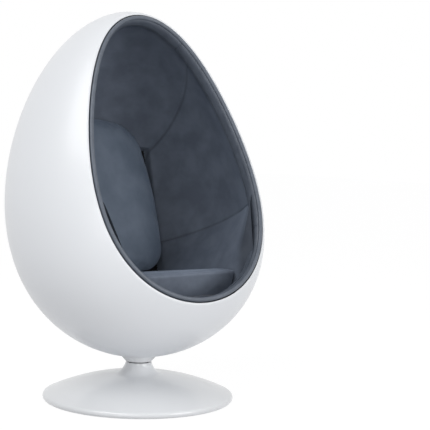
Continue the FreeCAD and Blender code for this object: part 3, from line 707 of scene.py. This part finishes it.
@dataclass
class Lining:
    """The padded lining: one grid of the cabin, shaped by its seams and cut into panels."""

    rows: int = 230
    count: int = 900
    ahead: float = -0.0125
    inset: float = 0.030
    recess_inset: float = 0.0075
    upper: tuple[float, float, float] = (0.321, 0.823, math.radians(50.7))
    lower: tuple[float, float, float] = (0.255, 0.500, math.radians(23.3))
    recess: tuple[tuple[float, float], ...] = ((0.262, 0.832), (0.286, 0.590), (0.264, 0.385))
    seam_depth: float = 0.0032
    seam_width: float = 0.0042
    # Strength of the shade painted into the lining's colour along the seam grooves.
    seam_shade: float = 0.32
    bolster_front: float = -0.205
    tuck_depth: float = 0.007
    tuck_from_rim: float = 0.062
    tuck_width: float = 0.022
    # Shade painted into the colour in the tuck behind the rim roll, and the depth over which it fades.
    tuck_shade: float = 0.55
    tuck_fade: float = 0.05
    ripple: float = 0.0008
    recess_edge: float = 0.016
    recess_front: float = 0.12
    recess_bow: float = 1.2
    recess_seen: float = 0.007
    recess_clear: float = 0.004
    bolster_round: float = 0.020
    bolster_passes: int = 14
    middle_seam_start: float = 0.012
    reach_table: tuple[np.ndarray, np.ndarray] = field(init=False)

    def __post_init__(self) -> None:
        depth = np.linspace(-0.34, 0.34, 69)
        start = np.stack([0 * depth, depth, self.seam_height(depth)], axis=-1)
        way = np.broadcast_to(np.array([1.0, 0.0, 0.0]), start.shape)
        found = halve(lambda p: EGG.excess(p, self.inset) > 0, start, way, CABIN_REACH)
        self.reach_table = (depth, found[:, 0])

    def seam_height(self, depth: np.ndarray) -> np.ndarray:
        """Height of the lower side seam at a depth."""
        return self.lower[1] + (self.lower[0] - depth) * math.tan(self.lower[2])

    @staticmethod
    def above(points: np.ndarray, seam: tuple[float, float, float]) -> np.ndarray:
        """Distance above a seam's plane."""
        depth, height, rise = seam
        lift = (points[..., 1] - depth) * math.sin(rise)
        return lift + (points[..., 2] - height) * math.cos(rise)

    def recess_half(self, height: np.ndarray) -> np.ndarray:
        """Half width of the recess at a height.

        Args:
            height: height above the floor.

        Returns:
            Half widths.
        """
        (top_w, top_z), (mid_w, mid_z), (low_w, low_z) = self.recess
        upper = (height - mid_z) / (top_z - mid_z)
        lower = (height - low_z) / (mid_z - low_z)
        high_bow = self.recess_bow * abs(top_w - mid_w) * upper * (1 - upper)
        low_bow = self.recess_bow * abs(mid_w - low_w) * lower * (1 - lower)
        high = mid_w + (top_w - mid_w) * upper + high_bow
        low = low_w + (mid_w - low_w) * lower + low_bow
        return np.where(height > mid_z, high, np.where(lower > 0, low, low_w))

    def in_recess(self, points: np.ndarray) -> np.ndarray:
        """Distance inside the recess's outline, seen from the front."""
        side = self.recess_half(points[..., 2]) - np.abs(points[..., 0])
        inside = np.minimum(side, self.recess[0][1] - points[..., 2])
        return np.where(points[..., 1] > self.recess_front, inside, -1.0)

    def bolster_top(self, points: np.ndarray) -> np.ndarray:
        """Height of the bolster's face over a point, or far below where there is none.

        Args:
            points: points as rows of x, y and z.

        Returns:
            Heights.
        """
        depth = points[..., 1]
        foot = SEAT.side(depth) + SEAT.gap
        head = np.interp(np.maximum(depth, self.bolster_front), *self.reach_table)
        share = (np.abs(points[..., 0]) - foot) / np.maximum(head - foot, 0.001)
        low = SEAT.top(depth)
        face = low + (self.seam_height(depth) - low) * share
        return np.where(share > 0, np.minimum(face, self.seam_height(depth)), -9.0)

    def inset_at(self, points: np.ndarray) -> np.ndarray:
        """Thickness of the lining at each point, thinner in its seams.

        Args:
            points: points as rows of x, y and z.

        Returns:
            Thicknesses.
        """
        over_upper = self.above(points, self.upper)
        over_lower = self.above(points, self.lower)
        across = points[..., 0]

        def groove(distance: np.ndarray) -> np.ndarray:
            sharp = np.exp(-((distance / self.seam_width) ** 2))
            wide = np.exp(-((distance / (self.seam_width * 6)) ** 2))
            return self.seam_depth * sharp + 0.35 * self.seam_depth * wide

        thick = np.full(points.shape[:-1], self.inset) - groove(over_upper)
        thick -= groove(over_lower)
        thick -= groove(across) * smoothstep(over_upper / self.middle_seam_start)
        behind = -((points - EGG.rim_middle(0.0)) @ EGG.rim_out)
        thick -= self.tuck_depth * np.exp(-(((behind - self.tuck_from_rim) / self.tuck_width) ** 2))
        ripple = np.sin(points[..., 2] * 31 + across * 17) * np.sin(points[..., 1] * 27 - across * 9)
        thick += self.ripple * ripple
        edge = smoothstep(0.5 + self.in_recess(points) / self.recess_edge)
        return thick + (self.recess_inset - thick) * edge

    def build(self) -> dict[tuple[Panel, int], bpy.types.Object]:
        """Make the panels: each zone on the left (-1) and right (1), and the recess (0)."""
        ways = EGG.cup_ways(self.rows, self.count)
        middle = EGG.rim_middle(self.ahead)
        flat = EGG.reached(self.inset, middle, ways)
        thick = self.inset_at(flat)
        open_space = self.in_recess(flat) > -self.recess_clear

        def blocked(points: np.ndarray) -> np.ndarray:
            low = (points[..., 2] < self.bolster_top(points)) & (self.above(points, self.lower) < 0)
            return (EGG.excess(points, thick) > 0) | (low & ~open_space)

        grid = halve(blocked, middle, ways, REACH)
        grid = self.relax(grid, flat)
        pole = EGG.cup_pole(self.recess_inset, self.ahead)
        points = np.concatenate([grid.reshape(-1, 3), [pole]])
        quads = grid_quads(self.rows, self.count)[:, ::-1]
        tris = fan((self.rows - 1) * self.count, self.count, self.rows * self.count, True)
        normals = self.normals(points, quads, tris)
        seen = np.concatenate([flat.reshape(-1, 3), [pole]])
        zones = {}
        labels = (self.zone(seen[quads].mean(axis=1)), self.zone(seen[tris].mean(axis=1)))
        for number in sorted(set(labels[0]) | set(labels[1])):
            panel, side = Panel(number // 3), int(number % 3) - 1
            chosen = quads[labels[0] == number], tris[labels[1] == number]
            zones[panel, side] = self.panel(panel, side, points, normals, *chosen)
            self.shade_seams(zones[panel, side])
        return zones

    def relax(self, grid: np.ndarray, flat: np.ndarray) -> np.ndarray:
        """Round the bolsters' edges by averaging neighbours below the lower seam.

        Args:
            grid: rings of points.
            flat: the same grid before the seams and bolsters.

        Returns:
            The rounded grid.
        """
        weight = smoothstep(-self.above(flat, self.lower) / self.bolster_round)[..., None] * 0.5
        for _ in range(self.bolster_passes):
            near = np.roll(grid, 1, axis=1) + np.roll(grid, -1, axis=1)
            near[1:-1] += grid[:-2] + grid[2:]
            near[0] *= 2
            near[-1] *= 2
            grid = grid * (1 - weight) + near / 4 * weight
        return grid

    def shade_seams(self, obj: bpy.types.Object) -> None:
        """Mark each point's painted shade: darker in the seam grooves where the panels meet and in the
        tuck behind the rim roll.

        Args:
            obj: the piece.
        """
        count = len(obj.data.vertices)
        points = np.empty(count * 3, np.float32)
        obj.data.vertices.foreach_get("co", points)
        points = points.reshape(-1, 3).astype(float)
        over = self.above(points, self.upper)
        middle = np.where(over > 0, np.abs(points[:, 0]), 1.0)
        near = np.minimum(np.minimum(np.abs(over), np.abs(self.above(points, self.lower))), middle)
        # Shade painted into the colour along the seam grooves.
        shade = self.seam_shade * np.exp(-((near / self.seam_width) ** 2))
        # Shade painted into the colour in the tuck behind the rim roll, where the roll shades the
        # lining.
        behind = -((points - EGG.rim_middle(0.0)) @ EGG.rim_out)
        tuck = self.tuck_shade * smoothstep(1.0 - (behind - self.tuck_from_rim) / self.tuck_fade)
        shade = 1.0 - (1.0 - shade) * (1.0 - tuck)
        mark = obj.data.attributes.new(SHADE, "FLOAT", "POINT")
        mark.data.foreach_set("value", shade.astype(np.float32))

    @staticmethod
    def normals(points: np.ndarray, quads: np.ndarray, tris: np.ndarray) -> np.ndarray:
        """Smooth normals of the whole grid, so that panels meet without a step.

        Args:
            points: points as rows of x, y and z.
            quads: corners of the four-sided faces.
            tris: corners of the three-sided faces.

        Returns:
            One unit normal per point.
        """
        faces = np.concatenate([quads[:, [0, 1, 2]], quads[:, [0, 2, 3]], tris])
        a, b, c = (points[faces[:, k]] for k in range(3))
        cross = np.cross(b - a, c - a)
        total = np.zeros_like(points)
        for k in range(3):
            for axis in range(3):
                total[:, axis] += np.bincount(faces[:, k], cross[:, axis], len(points))
        return total / np.maximum(np.linalg.norm(total, axis=1, keepdims=True), 1e-12)

    def zone(self, points: np.ndarray) -> np.ndarray:
        """Zone number of each point: three times its panel, plus 0 left, 1 middle, 2 right.

        Args:
            points: points as rows of x, y and z.

        Returns:
            Zone numbers.
        """
        panel = np.where(
            self.above(points, self.upper) > 0,
            Panel.UPPER.value,
            np.where(self.above(points, self.lower) > 0, Panel.SIDE.value, Panel.LOWER.value),
        )
        side = np.where(points[..., 0] < 0, 0, 2)
        recess = self.in_recess(points) > self.recess_seen
        return np.where(recess, 3 * Panel.RECESS.value + 1, 3 * panel + side)

    @staticmethod
    def panel(
        panel: Panel,
        side: int,
        points: np.ndarray,
        normals: np.ndarray,
        quads: np.ndarray,
        tris: np.ndarray,
    ) -> bpy.types.Object:
        """One panel as its own object, with the whole grid's normals.

        Args:
            panel: which panel it is.
            side: left (-1), middle (0) or right (1).
            points: points as rows of x, y and z.
            normals: normal of every point.
            quads: corners of the four-sided faces.
            tris: corners of the three-sided faces.

        Returns:
            The panel.
        """
        used = np.unique(np.concatenate([quads.ravel(), tris.ravel()]))
        renumber = np.full(len(points), -1)
        renumber[used] = np.arange(len(used))
        tail = {-1: "_left", 0: "", 1: "_right"}[side]
        name = panel.name.lower() + ("_lining" if side else "_backing") + tail + "_cover"
        obj = new_mesh(name, points[used], renumber[quads], renumber[tris])
        obj.data.normals_split_custom_set_from_vertices(normals[used].tolist())
        return obj


@dataclass(frozen=True)
class Stuffing:
    """Cloth simulation that swells a padded piece."""

    voxel: float = 0.006
    pressure: float = 4.0
    frames: int = 20
    cap: float = 0.014

    def swell(self, obj: bpy.types.Object) -> bpy.types.Object:
        """Blow a closed piece up like a stuffed cover.

        Args:
            obj: the piece, slightly smaller than it should become.

        Returns:
            A new object with the swollen mesh; the given one is removed.
        """
        name = obj.name
        soft = bpy.data.objects.new(name + "_soft", obj.data.copy())
        bpy.context.scene.collection.objects.link(soft)
        bpy.data.objects.remove(obj)
        self.remesh(soft)
        before = self.points(soft.data)
        cloth = soft.modifiers.new("cloth", "CLOTH").settings
        cloth.quality = 4
        cloth.use_pressure = True
        cloth.uniform_pressure_force = self.pressure
        cloth.effector_weights.gravity = 0.0
        scene = bpy.context.scene
        for step in range(1, self.frames + 1):
            scene.frame_set(step)
        found = soft.evaluated_get(bpy.context.evaluated_depsgraph_get())
        after = self.points(found.data)
        scene.frame_set(1)
        soft.modifiers.clear()
        move = after - before
        size = np.linalg.norm(move, axis=1, keepdims=True)
        move *= np.tanh(size / self.cap) * self.cap / np.maximum(size, 1e-9)
        soft.data.vertices.foreach_set("co", (before + move).astype(np.float32).ravel())
        self.subdivide(soft)
        soft.name = name
        return soft

    @staticmethod
    def points(mesh: bpy.types.Mesh) -> np.ndarray:
        """Points of a mesh as an array."""
        found = np.empty(len(mesh.vertices) * 3, np.float32)
        mesh.vertices.foreach_get("co", found)
        return found.reshape(-1, 3).astype(float)

    def remesh(self, obj: bpy.types.Object) -> None:
        """Give the piece an even mesh.

        Args:
            obj: the piece.
        """
        modifier = obj.modifiers.new("remesh", "REMESH")
        modifier.mode = "VOXEL"
        modifier.voxel_size = self.voxel
        self.apply(obj)

    def subdivide(self, obj: bpy.types.Object) -> None:
        """Smooth the piece by one subdivision.

        Args:
            obj: the piece.
        """
        modifier = obj.modifiers.new("finer", "SUBSURF")
        modifier.levels = 1
        modifier.render_levels = 1
        self.apply(obj)
        obj.data.polygons.foreach_set("use_smooth", np.ones(len(obj.data.polygons), bool))

    @staticmethod
    def apply(obj: bpy.types.Object) -> None:
        """Put the result of the piece's modifiers into its mesh.

        Args:
            obj: the piece.
        """
        found = obj.evaluated_get(bpy.context.evaluated_depsgraph_get())
        mesh = bpy.data.meshes.new_from_object(found)
        obj.modifiers.clear()
        obj.data = mesh


def pressed(points: np.ndarray, inset: float) -> np.ndarray:
    """Points moved forward, a small step at a time, until they lie in the egg at an inset.

    Args:
        points: points as rows of x, y and z.
        inset: distance inside the outer surface.

    Returns:
        The points.
    """
    for _ in range(PRESS_TRIES):
        outside = EGG.excess(points, inset) > 0
        points = points + np.where(outside, 1.0, 0.0)[..., None] * PRESS_STEP
    return points


def settle(obj: bpy.types.Object, inset: float, floor: Callable[[np.ndarray], np.ndarray]) -> None:
    """Press a swollen piece back from the lining and from what it lies on.

    Args:
        obj: the piece.
        inset: distance kept from the outside of the egg.
        floor: gives the lowest height allowed at each point.
    """
    points = pressed(Stuffing.points(obj.data), inset)
    points[:, 2] = np.maximum(points[:, 2], floor(points))
    obj.data.vertices.foreach_set("co", points.astype(np.float32).ravel())
    obj.data.update()


@dataclass
class SeatPad:
    """The seat cushion between the bolsters."""

    count: int = 480
    crown: float = 0.005
    edge: float = 0.007
    centre: float = 0.05
    swelling: float = 0.004
    clear_inset: float = 0.034
    lining_inset: float = 0.0315
    under_share: float = 0.9
    under_round: tuple[float, float] = (0.06, 0.010)
    side_share: float = 0.962
    side_start: float = 0.012
    top_round: float = 0.05

    def outline(self, shrink: float) -> np.ndarray:
        """Outline of the pad in plan, shrunk by a little, with rounded corners.

        Args:
            shrink: distance that the outline is drawn in.

        Returns:
            The outline.
        """
        turn = np.arange(self.count) * (2 * math.pi / self.count)
        ways = np.stack([np.sin(turn), -np.cos(turn), 0 * turn], axis=-1)
        start = np.array([0.0, self.centre, 0.0])

        def blocked(points: np.ndarray) -> np.ndarray:
            level = np.stack([points[..., 0], points[..., 1], SEAT.top(points[..., 1])], axis=-1)
            wide = np.abs(points[..., 0]) > SEAT.side(points[..., 1]) - shrink
            near = points[..., 1] < SEAT.front + shrink
            return wide | near | (EGG.excess(level, self.lining_inset + shrink) > 0)

        ring = halve(blocked, start, ways, CABIN_REACH)
        for _ in range(3):
            ring = (np.roll(ring, 1, axis=0) + 2 * ring + np.roll(ring, -1, axis=0)) / 4
        return ring

    def inside(self, ring: np.ndarray) -> np.ndarray:
        """The ring, drawn in to where the lining leaves room at its height.

        Args:
            ring: points of one ring.

        Returns:
            The ring.
        """
        start = ring * np.array([0.0, 0.0, 1.0]) + np.array([0.0, self.centre, 0.0])
        length = np.linalg.norm(ring - start, axis=1, keepdims=True)
        held = halve(lambda p: EGG.excess(p, self.clear_inset) > 0, start, (ring - start) / length, 1.0)
        room = np.linalg.norm(held - start, axis=1, keepdims=True)
        return start + (ring - start) * np.minimum(1.0, room / length)

    def section(self) -> list[tuple[float, float]]:
        """Half section of the pad as (share of the outline, height over the seat's top).

        Returns:
            Its points, from the middle of the underside to the middle of the top.
        """
        bend = np.linspace(0, math.pi / 2, 6)
        low = -SEAT.thickness
        side = low + self.side_start
        out, up = self.under_round
        share = self.side_share
        brow = 1 - self.top_round
        steps = [(s, low) for s in np.linspace(0.05, self.under_share, 14)]
        steps += [(self.under_share + out * math.sin(a), low + up * (1 - math.cos(a))) for a in bend]
        for t in np.linspace(0.1, 1, 8):
            steps.append((share + (1 - share) * t, side + (-side - self.edge) * t))
        for a in bend[1:]:
            steps.append((1 - self.top_round * (1 - math.cos(a)), -self.edge * (1 - math.sin(a))))
        for s in np.linspace(brow - 0.01, 0.03, 26):
            steps.append((s, self.crown * (1 - (s / brow) ** 2) ** 0.5))
        return steps

    def build(self) -> bpy.types.Object:
        """Closed rounded block."""
        full = self.outline(0.0)
        start = np.array([0.0, self.centre, 0.0])
        rings = []
        for spread, rise in self.section():
            ring = start + (full - start) * spread
            ring[:, 2] = SEAT.top(ring[:, 1]) + rise
            rings.append(self.inside(ring))
        low = np.array([0, self.centre, SEAT.top(self.centre) - SEAT.thickness])
        high = np.array([0, self.centre, SEAT.top(self.centre) + self.crown])
        pad = closed_rings("seat_cushion", np.stack(rings), low, high)
        pad = Stuffing(cap=self.swelling).swell(pad)
        settle(pad, self.clear_inset - self.swelling, lambda p: np.full(len(p), -1.0))
        return pad


@dataclass
class BackCushion:
    """The loose back cushion, leaning on the lining."""

    height: float = 0.572
    thickness: float = 0.092
    lean: float = math.radians(18.9)
    foot: float = 0.187
    rest: float = 0.002
    head: tuple[float, float] = (0.252, 0.122)
    base: tuple[float, float] = (0.262, 0.100)
    side_bulge: float = 0.013
    clear_inset: float = 0.0310
    swelling: float = 0.010
    rings: int = 40
    around: int = 80
    side_points: int = 42
    fullness: float = 0.65

    def outline(self) -> np.ndarray:
        """Rounded outline about the cushion's middle, as (across, up)."""
        half = self.height / 2
        parts = []
        corners = [
            (self.head[0] - self.head[1], half - self.head[1], self.head[1], 0),
            (-self.head[0] + self.head[1], half - self.head[1], self.head[1], 90),
            (-self.base[0] + self.base[1], -half + self.base[1], self.base[1], 180),
            (self.base[0] - self.base[1], -half + self.base[1], self.base[1], 270),
        ]
        corner_turn = np.radians(np.linspace(0, 90, self.around // 4))
        for index, (x, y, radius, start) in enumerate(corners):
            a = corner_turn + math.radians(start)
            arc = np.stack([x + radius * np.cos(a), y + radius * np.sin(a)], axis=-1)
            parts.append(arc)
            nx, ny, nr, ns = corners[(index + 1) % 4]
            goal = np.array(
                [nx + nr * math.cos(math.radians(ns)), ny + nr * math.sin(math.radians(ns))]
            )
            t = np.linspace(0, 1, self.side_points)[1:-1, None]
            line = arc[-1] + (goal - arc[-1]) * t
            way = (goal - arc[-1]) / np.linalg.norm(goal - arc[-1])
            line += np.array([way[1], -way[0]]) * (4 * self.side_bulge * t * (1 - t))
            parts.append(line)
        return np.concatenate(parts)

    def place(self, flat: np.ndarray) -> np.ndarray:
        """Points (across, forward, up from the foot) stood on the seat and leant back.

        Args:
            flat: the same grid before the seams and bolsters.

        Returns:
            The points in the frame.
        """
        y = -flat[..., 1]
        z = flat[..., 2]
        across = y * math.cos(self.lean) + z * math.sin(self.lean)
        up = -y * math.sin(self.lean) + z * math.cos(self.lean)
        base = SEAT.top(self.foot) + self.rest
        return np.stack([flat[..., 0], self.foot + across, base + up], axis=-1)

    def build(self) -> bpy.types.Object:
        """Closed crowned pillow, pressed flat where it meets the lining."""
        outline = self.outline()
        theta = np.linspace(0, math.pi, self.rings + 2)[1:-1]
        face = np.cos(theta)
        spread = np.sin(theta)
        full = self.fullness
        crown = face * np.sqrt((1 - (1 - full) * face**2) / full) * self.thickness / 2
        flat = np.empty((self.rings, len(outline), 3))
        flat[..., 0] = spread[:, None] * outline[None, :, 0]
        flat[..., 1] = crown[:, None]
        flat[..., 2] = self.height / 2 + spread[:, None] * outline[None, :, 1]
        tips = np.array([[0, s * self.thickness / 2, self.height / 2] for s in (1, -1)])
        grid = self.place(flat)
        tips = self.place(tips)
        grid = pressed(grid, self.clear_inset)
        cushion = closed_rings("cushion", grid, tips[0], tips[1])
        cushion = Stuffing(cap=self.swelling).swell(cushion)
        settle(cushion, self.clear_inset, lambda p: SEAT.top(p[:, 1]) + self.rest)
        return cushion


@dataclass
class Pedestal:
    """The painted trumpet base and the cast hub above it."""

    radius: float = 0.320
    lift: float = 0.002
    edge_top: float = 0.022
    edge_round: float = 0.0111
    dome_height: float = 0.090
    wall: float = 0.005
    neck: float = 0.0435
    fillet: float = 0.050
    top: float = 0.1255
    hub_foot: float = 0.0455
    hub_head: tuple[float, float] = (0.100, 0.180)
    hub_hollow: float = 0.300
    slit: float = 0.0045
    hub_tip: float = 0.1478
    bevel: float = 0.0006
    neck_wall_depth: float = 0.020
    inner_step: float = 0.004
    inner_radii: tuple[float, float] = (0.160, 0.240)

    def profile(self) -> np.ndarray:
        """Closed profile of the base."""
        half = (self.edge_top - self.lift) / 2
        edge = self.radius - self.edge_round + math.sqrt(self.edge_round**2 - half**2)
        rise = self.dome_height - self.edge_top
        dome = (edge**2 + rise**2) / (2 * rise)
        centre = self.dome_height - dome
        flare = self.flare_centre(dome, centre)
        share = dome / (dome + self.fillet)
        touch = (flare[0] * share, centre + (flare[1] - centre) * share)
        bend = math.asin(half / self.edge_round)
        turn = np.linspace(-bend, bend, 12)
        rim = np.stack(
            [
                self.radius - self.edge_round + self.edge_round * np.cos(turn),
                self.lift + half + self.edge_round * np.sin(turn),
            ],
            axis=-1,
        )
        out = np.linspace(edge, touch[0], 40)[1:]
        cap = np.stack([out, centre + np.sqrt(dome**2 - out**2)], axis=-1)
        foot = math.atan2(touch[1] - flare[1], touch[0] - flare[0]) % (2 * math.pi)
        head = math.atan2(self.top - flare[1], self.neck - flare[0]) % (2 * math.pi)
        swing = np.linspace(foot, head, 24)[1:-1]
        cove = np.stack(
            [flare[0] + self.fillet * np.cos(swing), flare[1] + self.fillet * np.sin(swing)],
            axis=-1,
        )
        bevel = self.bevel
        neck = np.array([[self.neck, self.top - bevel], [self.neck - bevel, self.top]])
        under = [(r, centre + math.sqrt((dome - self.wall) ** 2 - r**2)) for r in self.inner_radii]
        inside = np.array(
            [
                [self.neck - self.wall, self.top],
                [self.neck - self.wall, self.top - self.neck_wall_depth],
                [touch[0] - self.inner_step, touch[1] - self.wall - 0.001],
                *under,
                [edge - self.wall, self.edge_top - self.inner_step],
                [edge - self.wall, self.lift],
            ]
        )
        return np.concatenate([rim, cap, cove, neck, inside])

    def flare_centre(self, dome: float, dome_centre: float) -> tuple[float, float]:
        """Middle of the arc that leaves the neck's top edge and lands on the dome.

        Args:
            dome: radius of the dome.
            dome_centre: height of the dome's middle.

        Returns:
            Its radius from the axis and its height.
        """
        up = self.top - dome_centre
        apart = math.hypot(self.neck, up)
        reach = dome + self.fillet
        along = (apart**2 + reach**2 - self.fillet**2) / (2 * apart)
        aside = math.sqrt(reach**2 - along**2)
        return (
            (self.neck * along + up * aside) / apart,
            dome_centre + (up * along - self.neck * aside) / apart,
        )

    def hub(self, count: int = 256, rows: int = 26) -> bpy.types.Object:
        """The collar that flares into the shell, cut by the shell's outer face.

        Args:
            count: points in each ring.
            rows: rings in the grid.

        Returns:
            The collar.
        """
        start = np.array([self.hub_foot, self.top + self.slit])
        end = np.array(self.hub_head)
        chord = end - start
        length = float(np.linalg.norm(chord))
        right = np.array([chord[1], -chord[0]]) / length
        centre = (start + end) / 2 + right * math.sqrt(self.hub_hollow**2 - (length / 2) ** 2)
        first = math.atan2(*(start - centre)[::-1])
        last = math.atan2(*(end - centre)[::-1])
        last += 2 * math.pi * round((first - last) / (2 * math.pi))
        turn = np.arange(count) * (2 * math.pi / count)

        def point(share: np.ndarray) -> np.ndarray:
            angle = first + (last - first) * share
            radius = centre[0] + self.hub_hollow * np.cos(angle)
            height = centre[1] + self.hub_hollow * np.sin(angle)
            return np.stack([radius * np.cos(turn), radius * np.sin(turn), height], axis=-1)

        low, high = np.zeros(count), np.ones(count)
        for _ in range(30):
            middle = (low + high) / 2
            inside = EGG.excess(point(middle), -0.0002) < 0
            high = np.where(inside, middle, high)
            low = np.where(inside, low, middle)
        grid = np.stack([point(low * k / (rows - 1)) for k in range(rows)])
        tips = np.array([0, 0, self.top + self.slit]), np.array([0, 0, self.hub_tip])
        return closed_rings("hub_collar", grid, *tips)


@dataclass(frozen=True)
class PhotoCamera:
    """The camera's place, read from the photo."""

    azimuth: float = -0.6535
    elevation: float = 0.0653
    distance: float = 4.2
    focal: float = 1252.4871
    roll: float = 0.0266
    across: float = -0.2449
    height: float = 0.6265
    pixels: float = 430.0

    def place(self) -> bpy.types.Object:
        """Make the camera."""
        pivot = np.array([0.0, 0.0, CHAIR_MIDDLE])
        back = np.array(
            [
                math.sin(self.azimuth) * math.cos(self.elevation),
                -math.cos(self.azimuth) * math.cos(self.elevation),
                math.sin(self.elevation),
            ]
        )
        eye = pivot + self.distance * back
        right = np.cross(-back, UP)
        right /= np.linalg.norm(right)
        up = np.cross(right, -back)
        aim = pivot - self.across * right + (self.height - CHAIR_MIDDLE) * up
        forward = (aim - eye) / np.linalg.norm(aim - eye)
        right = np.cross(forward, UP)
        right /= np.linalg.norm(right)
        up = np.cross(right, forward)
        c, s = math.cos(self.roll), math.sin(self.roll)
        right, up = c * right + s * up, -s * right + c * up
        data = bpy.data.cameras.new("camera")
        data.sensor_width = 36.0
        data.lens = self.focal * 36.0 / self.pixels
        data.dof.use_dof = False
        camera = bpy.data.objects.new("camera", data)
        bpy.context.scene.collection.objects.link(camera)
        turn = Matrix((right, up, -forward)).transposed().to_4x4()
        camera.matrix_world = Matrix.Translation(Vector(eye)) @ turn
        bpy.context.scene.camera = camera
        return camera


@dataclass(frozen=True)
class Lamp:
    """A square soft light."""

    name: str
    place: tuple[float, float, float]
    size: float
    power: float

    def place_at(self, height: float) -> None:
        """Hang the light so that it looks at this height on the chair's axis.

        Args:
            height: height above the floor.
        """
        data = bpy.data.lights.new(self.name, "AREA")
        data.shape = "SQUARE"
        data.size = self.size
        data.energy = self.power
        lamp = bpy.data.objects.new(self.name, data)
        way = Vector((0, 0, height)) - Vector(self.place)
        lamp.rotation_euler = way.to_track_quat("-Z", "Y").to_euler()
        lamp.location = self.place
        bpy.context.scene.collection.objects.link(lamp)


@dataclass(frozen=True)
class Studio:
    """Pale floor, white surroundings and soft lights."""

    floor_size: float = 30.0
    world: float = 0.43
    floor_share: float = 0.80
    floor_glow: float = 1.16
    floor_colour: tuple[float, float, float, float] = (0.58, 0.58, 0.59, 1)
    floor_roughness: float = 0.8
    aim: float = 0.7
    lamps: tuple[Lamp, ...] = (
        Lamp("key", (-3.7, -3.3, 1.9), 2.6, 42),
        Lamp("front", (1.2, -4.4, 1.5), 2.2, 78),
        Lamp("sky", (-3.0, -0.4, 4.0), 2.4, 75),
    )

    def build(self) -> None:
        """Set the stage."""
        half = self.floor_size / 2
        corners = np.array([[-half, -half, 0], [half, -half, 0], [half, half, 0], [-half, half, 0]])
        floor = new_mesh("floor", corners, np.array([[0, 1, 2, 3]]), np.zeros((0, 3), int))
        floor.data.materials.append(self.floor_finish())
        self.surround()
        for lamp in self.lamps:
            lamp.place_at(self.aim)

    def backdrop_rays(self, tree: bpy.types.NodeTree) -> bpy.types.NodeSocket:
        """One for rays that show the backdrop, to the eye, in gloss or through glass.

        Args:
            tree: the material's nodes.

        Returns:
            The output that holds it.
        """
        path = tree.nodes.new("ShaderNodeLightPath")
        total = path.outputs["Is Camera Ray"]
        for name in ("Is Glossy Ray", "Is Transmission Ray"):
            add = add_node(tree, "Math", {}, {0: total, 1: path.outputs[name]})
            add.operation = "MAXIMUM"
            total = add.outputs[0]
        return total

    def floor_finish(self) -> bpy.types.Material:
        """Pale floor that looks white and still keeps a faint shadow."""
        material = bpy.data.materials.new("floor")
        material.use_nodes = True
        tree = material.node_tree
        shader = tree.nodes["Principled BSDF"]
        shader.inputs["Base Color"].default_value = self.floor_colour
        shader.inputs["Roughness"].default_value = self.floor_roughness
        glow = add_node(tree, "Emission", {"Strength": self.floor_glow}, {})
        share = add_node(tree, "Math", {1: self.floor_share}, {0: self.backdrop_rays(tree)})
        share.operation = "MULTIPLY"
        parts = {0: share.outputs[0], 1: shader.outputs[0], 2: glow.outputs[0]}
        mix = add_node(tree, "MixShader", {}, parts)
        tree.links.new(mix.outputs[0], tree.nodes["Material Output"].inputs["Surface"])
        return material

    def surround(self) -> None:
        """World that lights softly and looks white."""
        world = bpy.data.worlds.new("studio")
        world.use_nodes = True
        tree = world.node_tree
        ends = {"To Min": self.world, "To Max": 1.0}
        level = add_node(tree, "MapRange", ends, {"Value": self.backdrop_rays(tree)})
        back = tree.nodes["Background"]
        back.inputs[0].default_value = (1, 1, 1, 1)
        tree.links.new(level.outputs["Result"], back.inputs[1])
        bpy.context.scene.world = world


def dress_cad(frame: dict, wardrobe: Wardrobe) -> None:
    """Give every CAD node the finish of its own slot."""
    slots = {entry["node"]: entry["material_slot"] for entry in frame["record"]["subparts"]}
    for name, node in frame["nodes"].items():
        wardrobe.dress(node, slots[name])


def main() -> None:
    """Load the frame, build every piece and set the stage."""
    logging.basicConfig(level=logging.INFO, format="%(name)s %(message)s")
    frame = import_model()
    wardrobe = Wardrobe()
    dress_cad(frame, wardrobe)
    wardrobe.piece(Shell().build(), "shell_gelcoat", "pod", "outer_shell")
    wardrobe.piece(ROLL.build(), "rim_leather", "pod", "rim_roll")
    wardrobe.piece(WELT.build(), "rim_leather", "pod", "rim_welt")
    for (panel, side), obj in Lining().build().items():
        if panel is Panel.RECESS:
            # The recess backing's near-black colour is painted shadow behind the cushion.
            wardrobe.piece(obj, "recess_cloth", "pod", "recess_backing")
            continue
        node = panel.name.lower() + "_lining" + ("_right" if side > 0 else "_left")
        wardrobe.piece(obj, "lining_suede", "pod", node)
    pad = wardrobe.piece(SeatPad().build(), "lining_suede", "pod", "seat_pad")
    cushion = wardrobe.piece(BackCushion().build(), "cushion_velvet", "pod", "back_cushion")
    base = Pedestal()
    wardrobe.piece(turned("pedestal", base.profile()), "pedestal_paint", "base", "pedestal_shell")
    wardrobe.piece(base.hub(), "hub_aluminium", "pod", "swivel_hub")
    Studio().build()
    PhotoCamera().place()
    bpy.context.scene.view_settings.view_transform = "Standard"


if __name__ == "__main__":
    main()
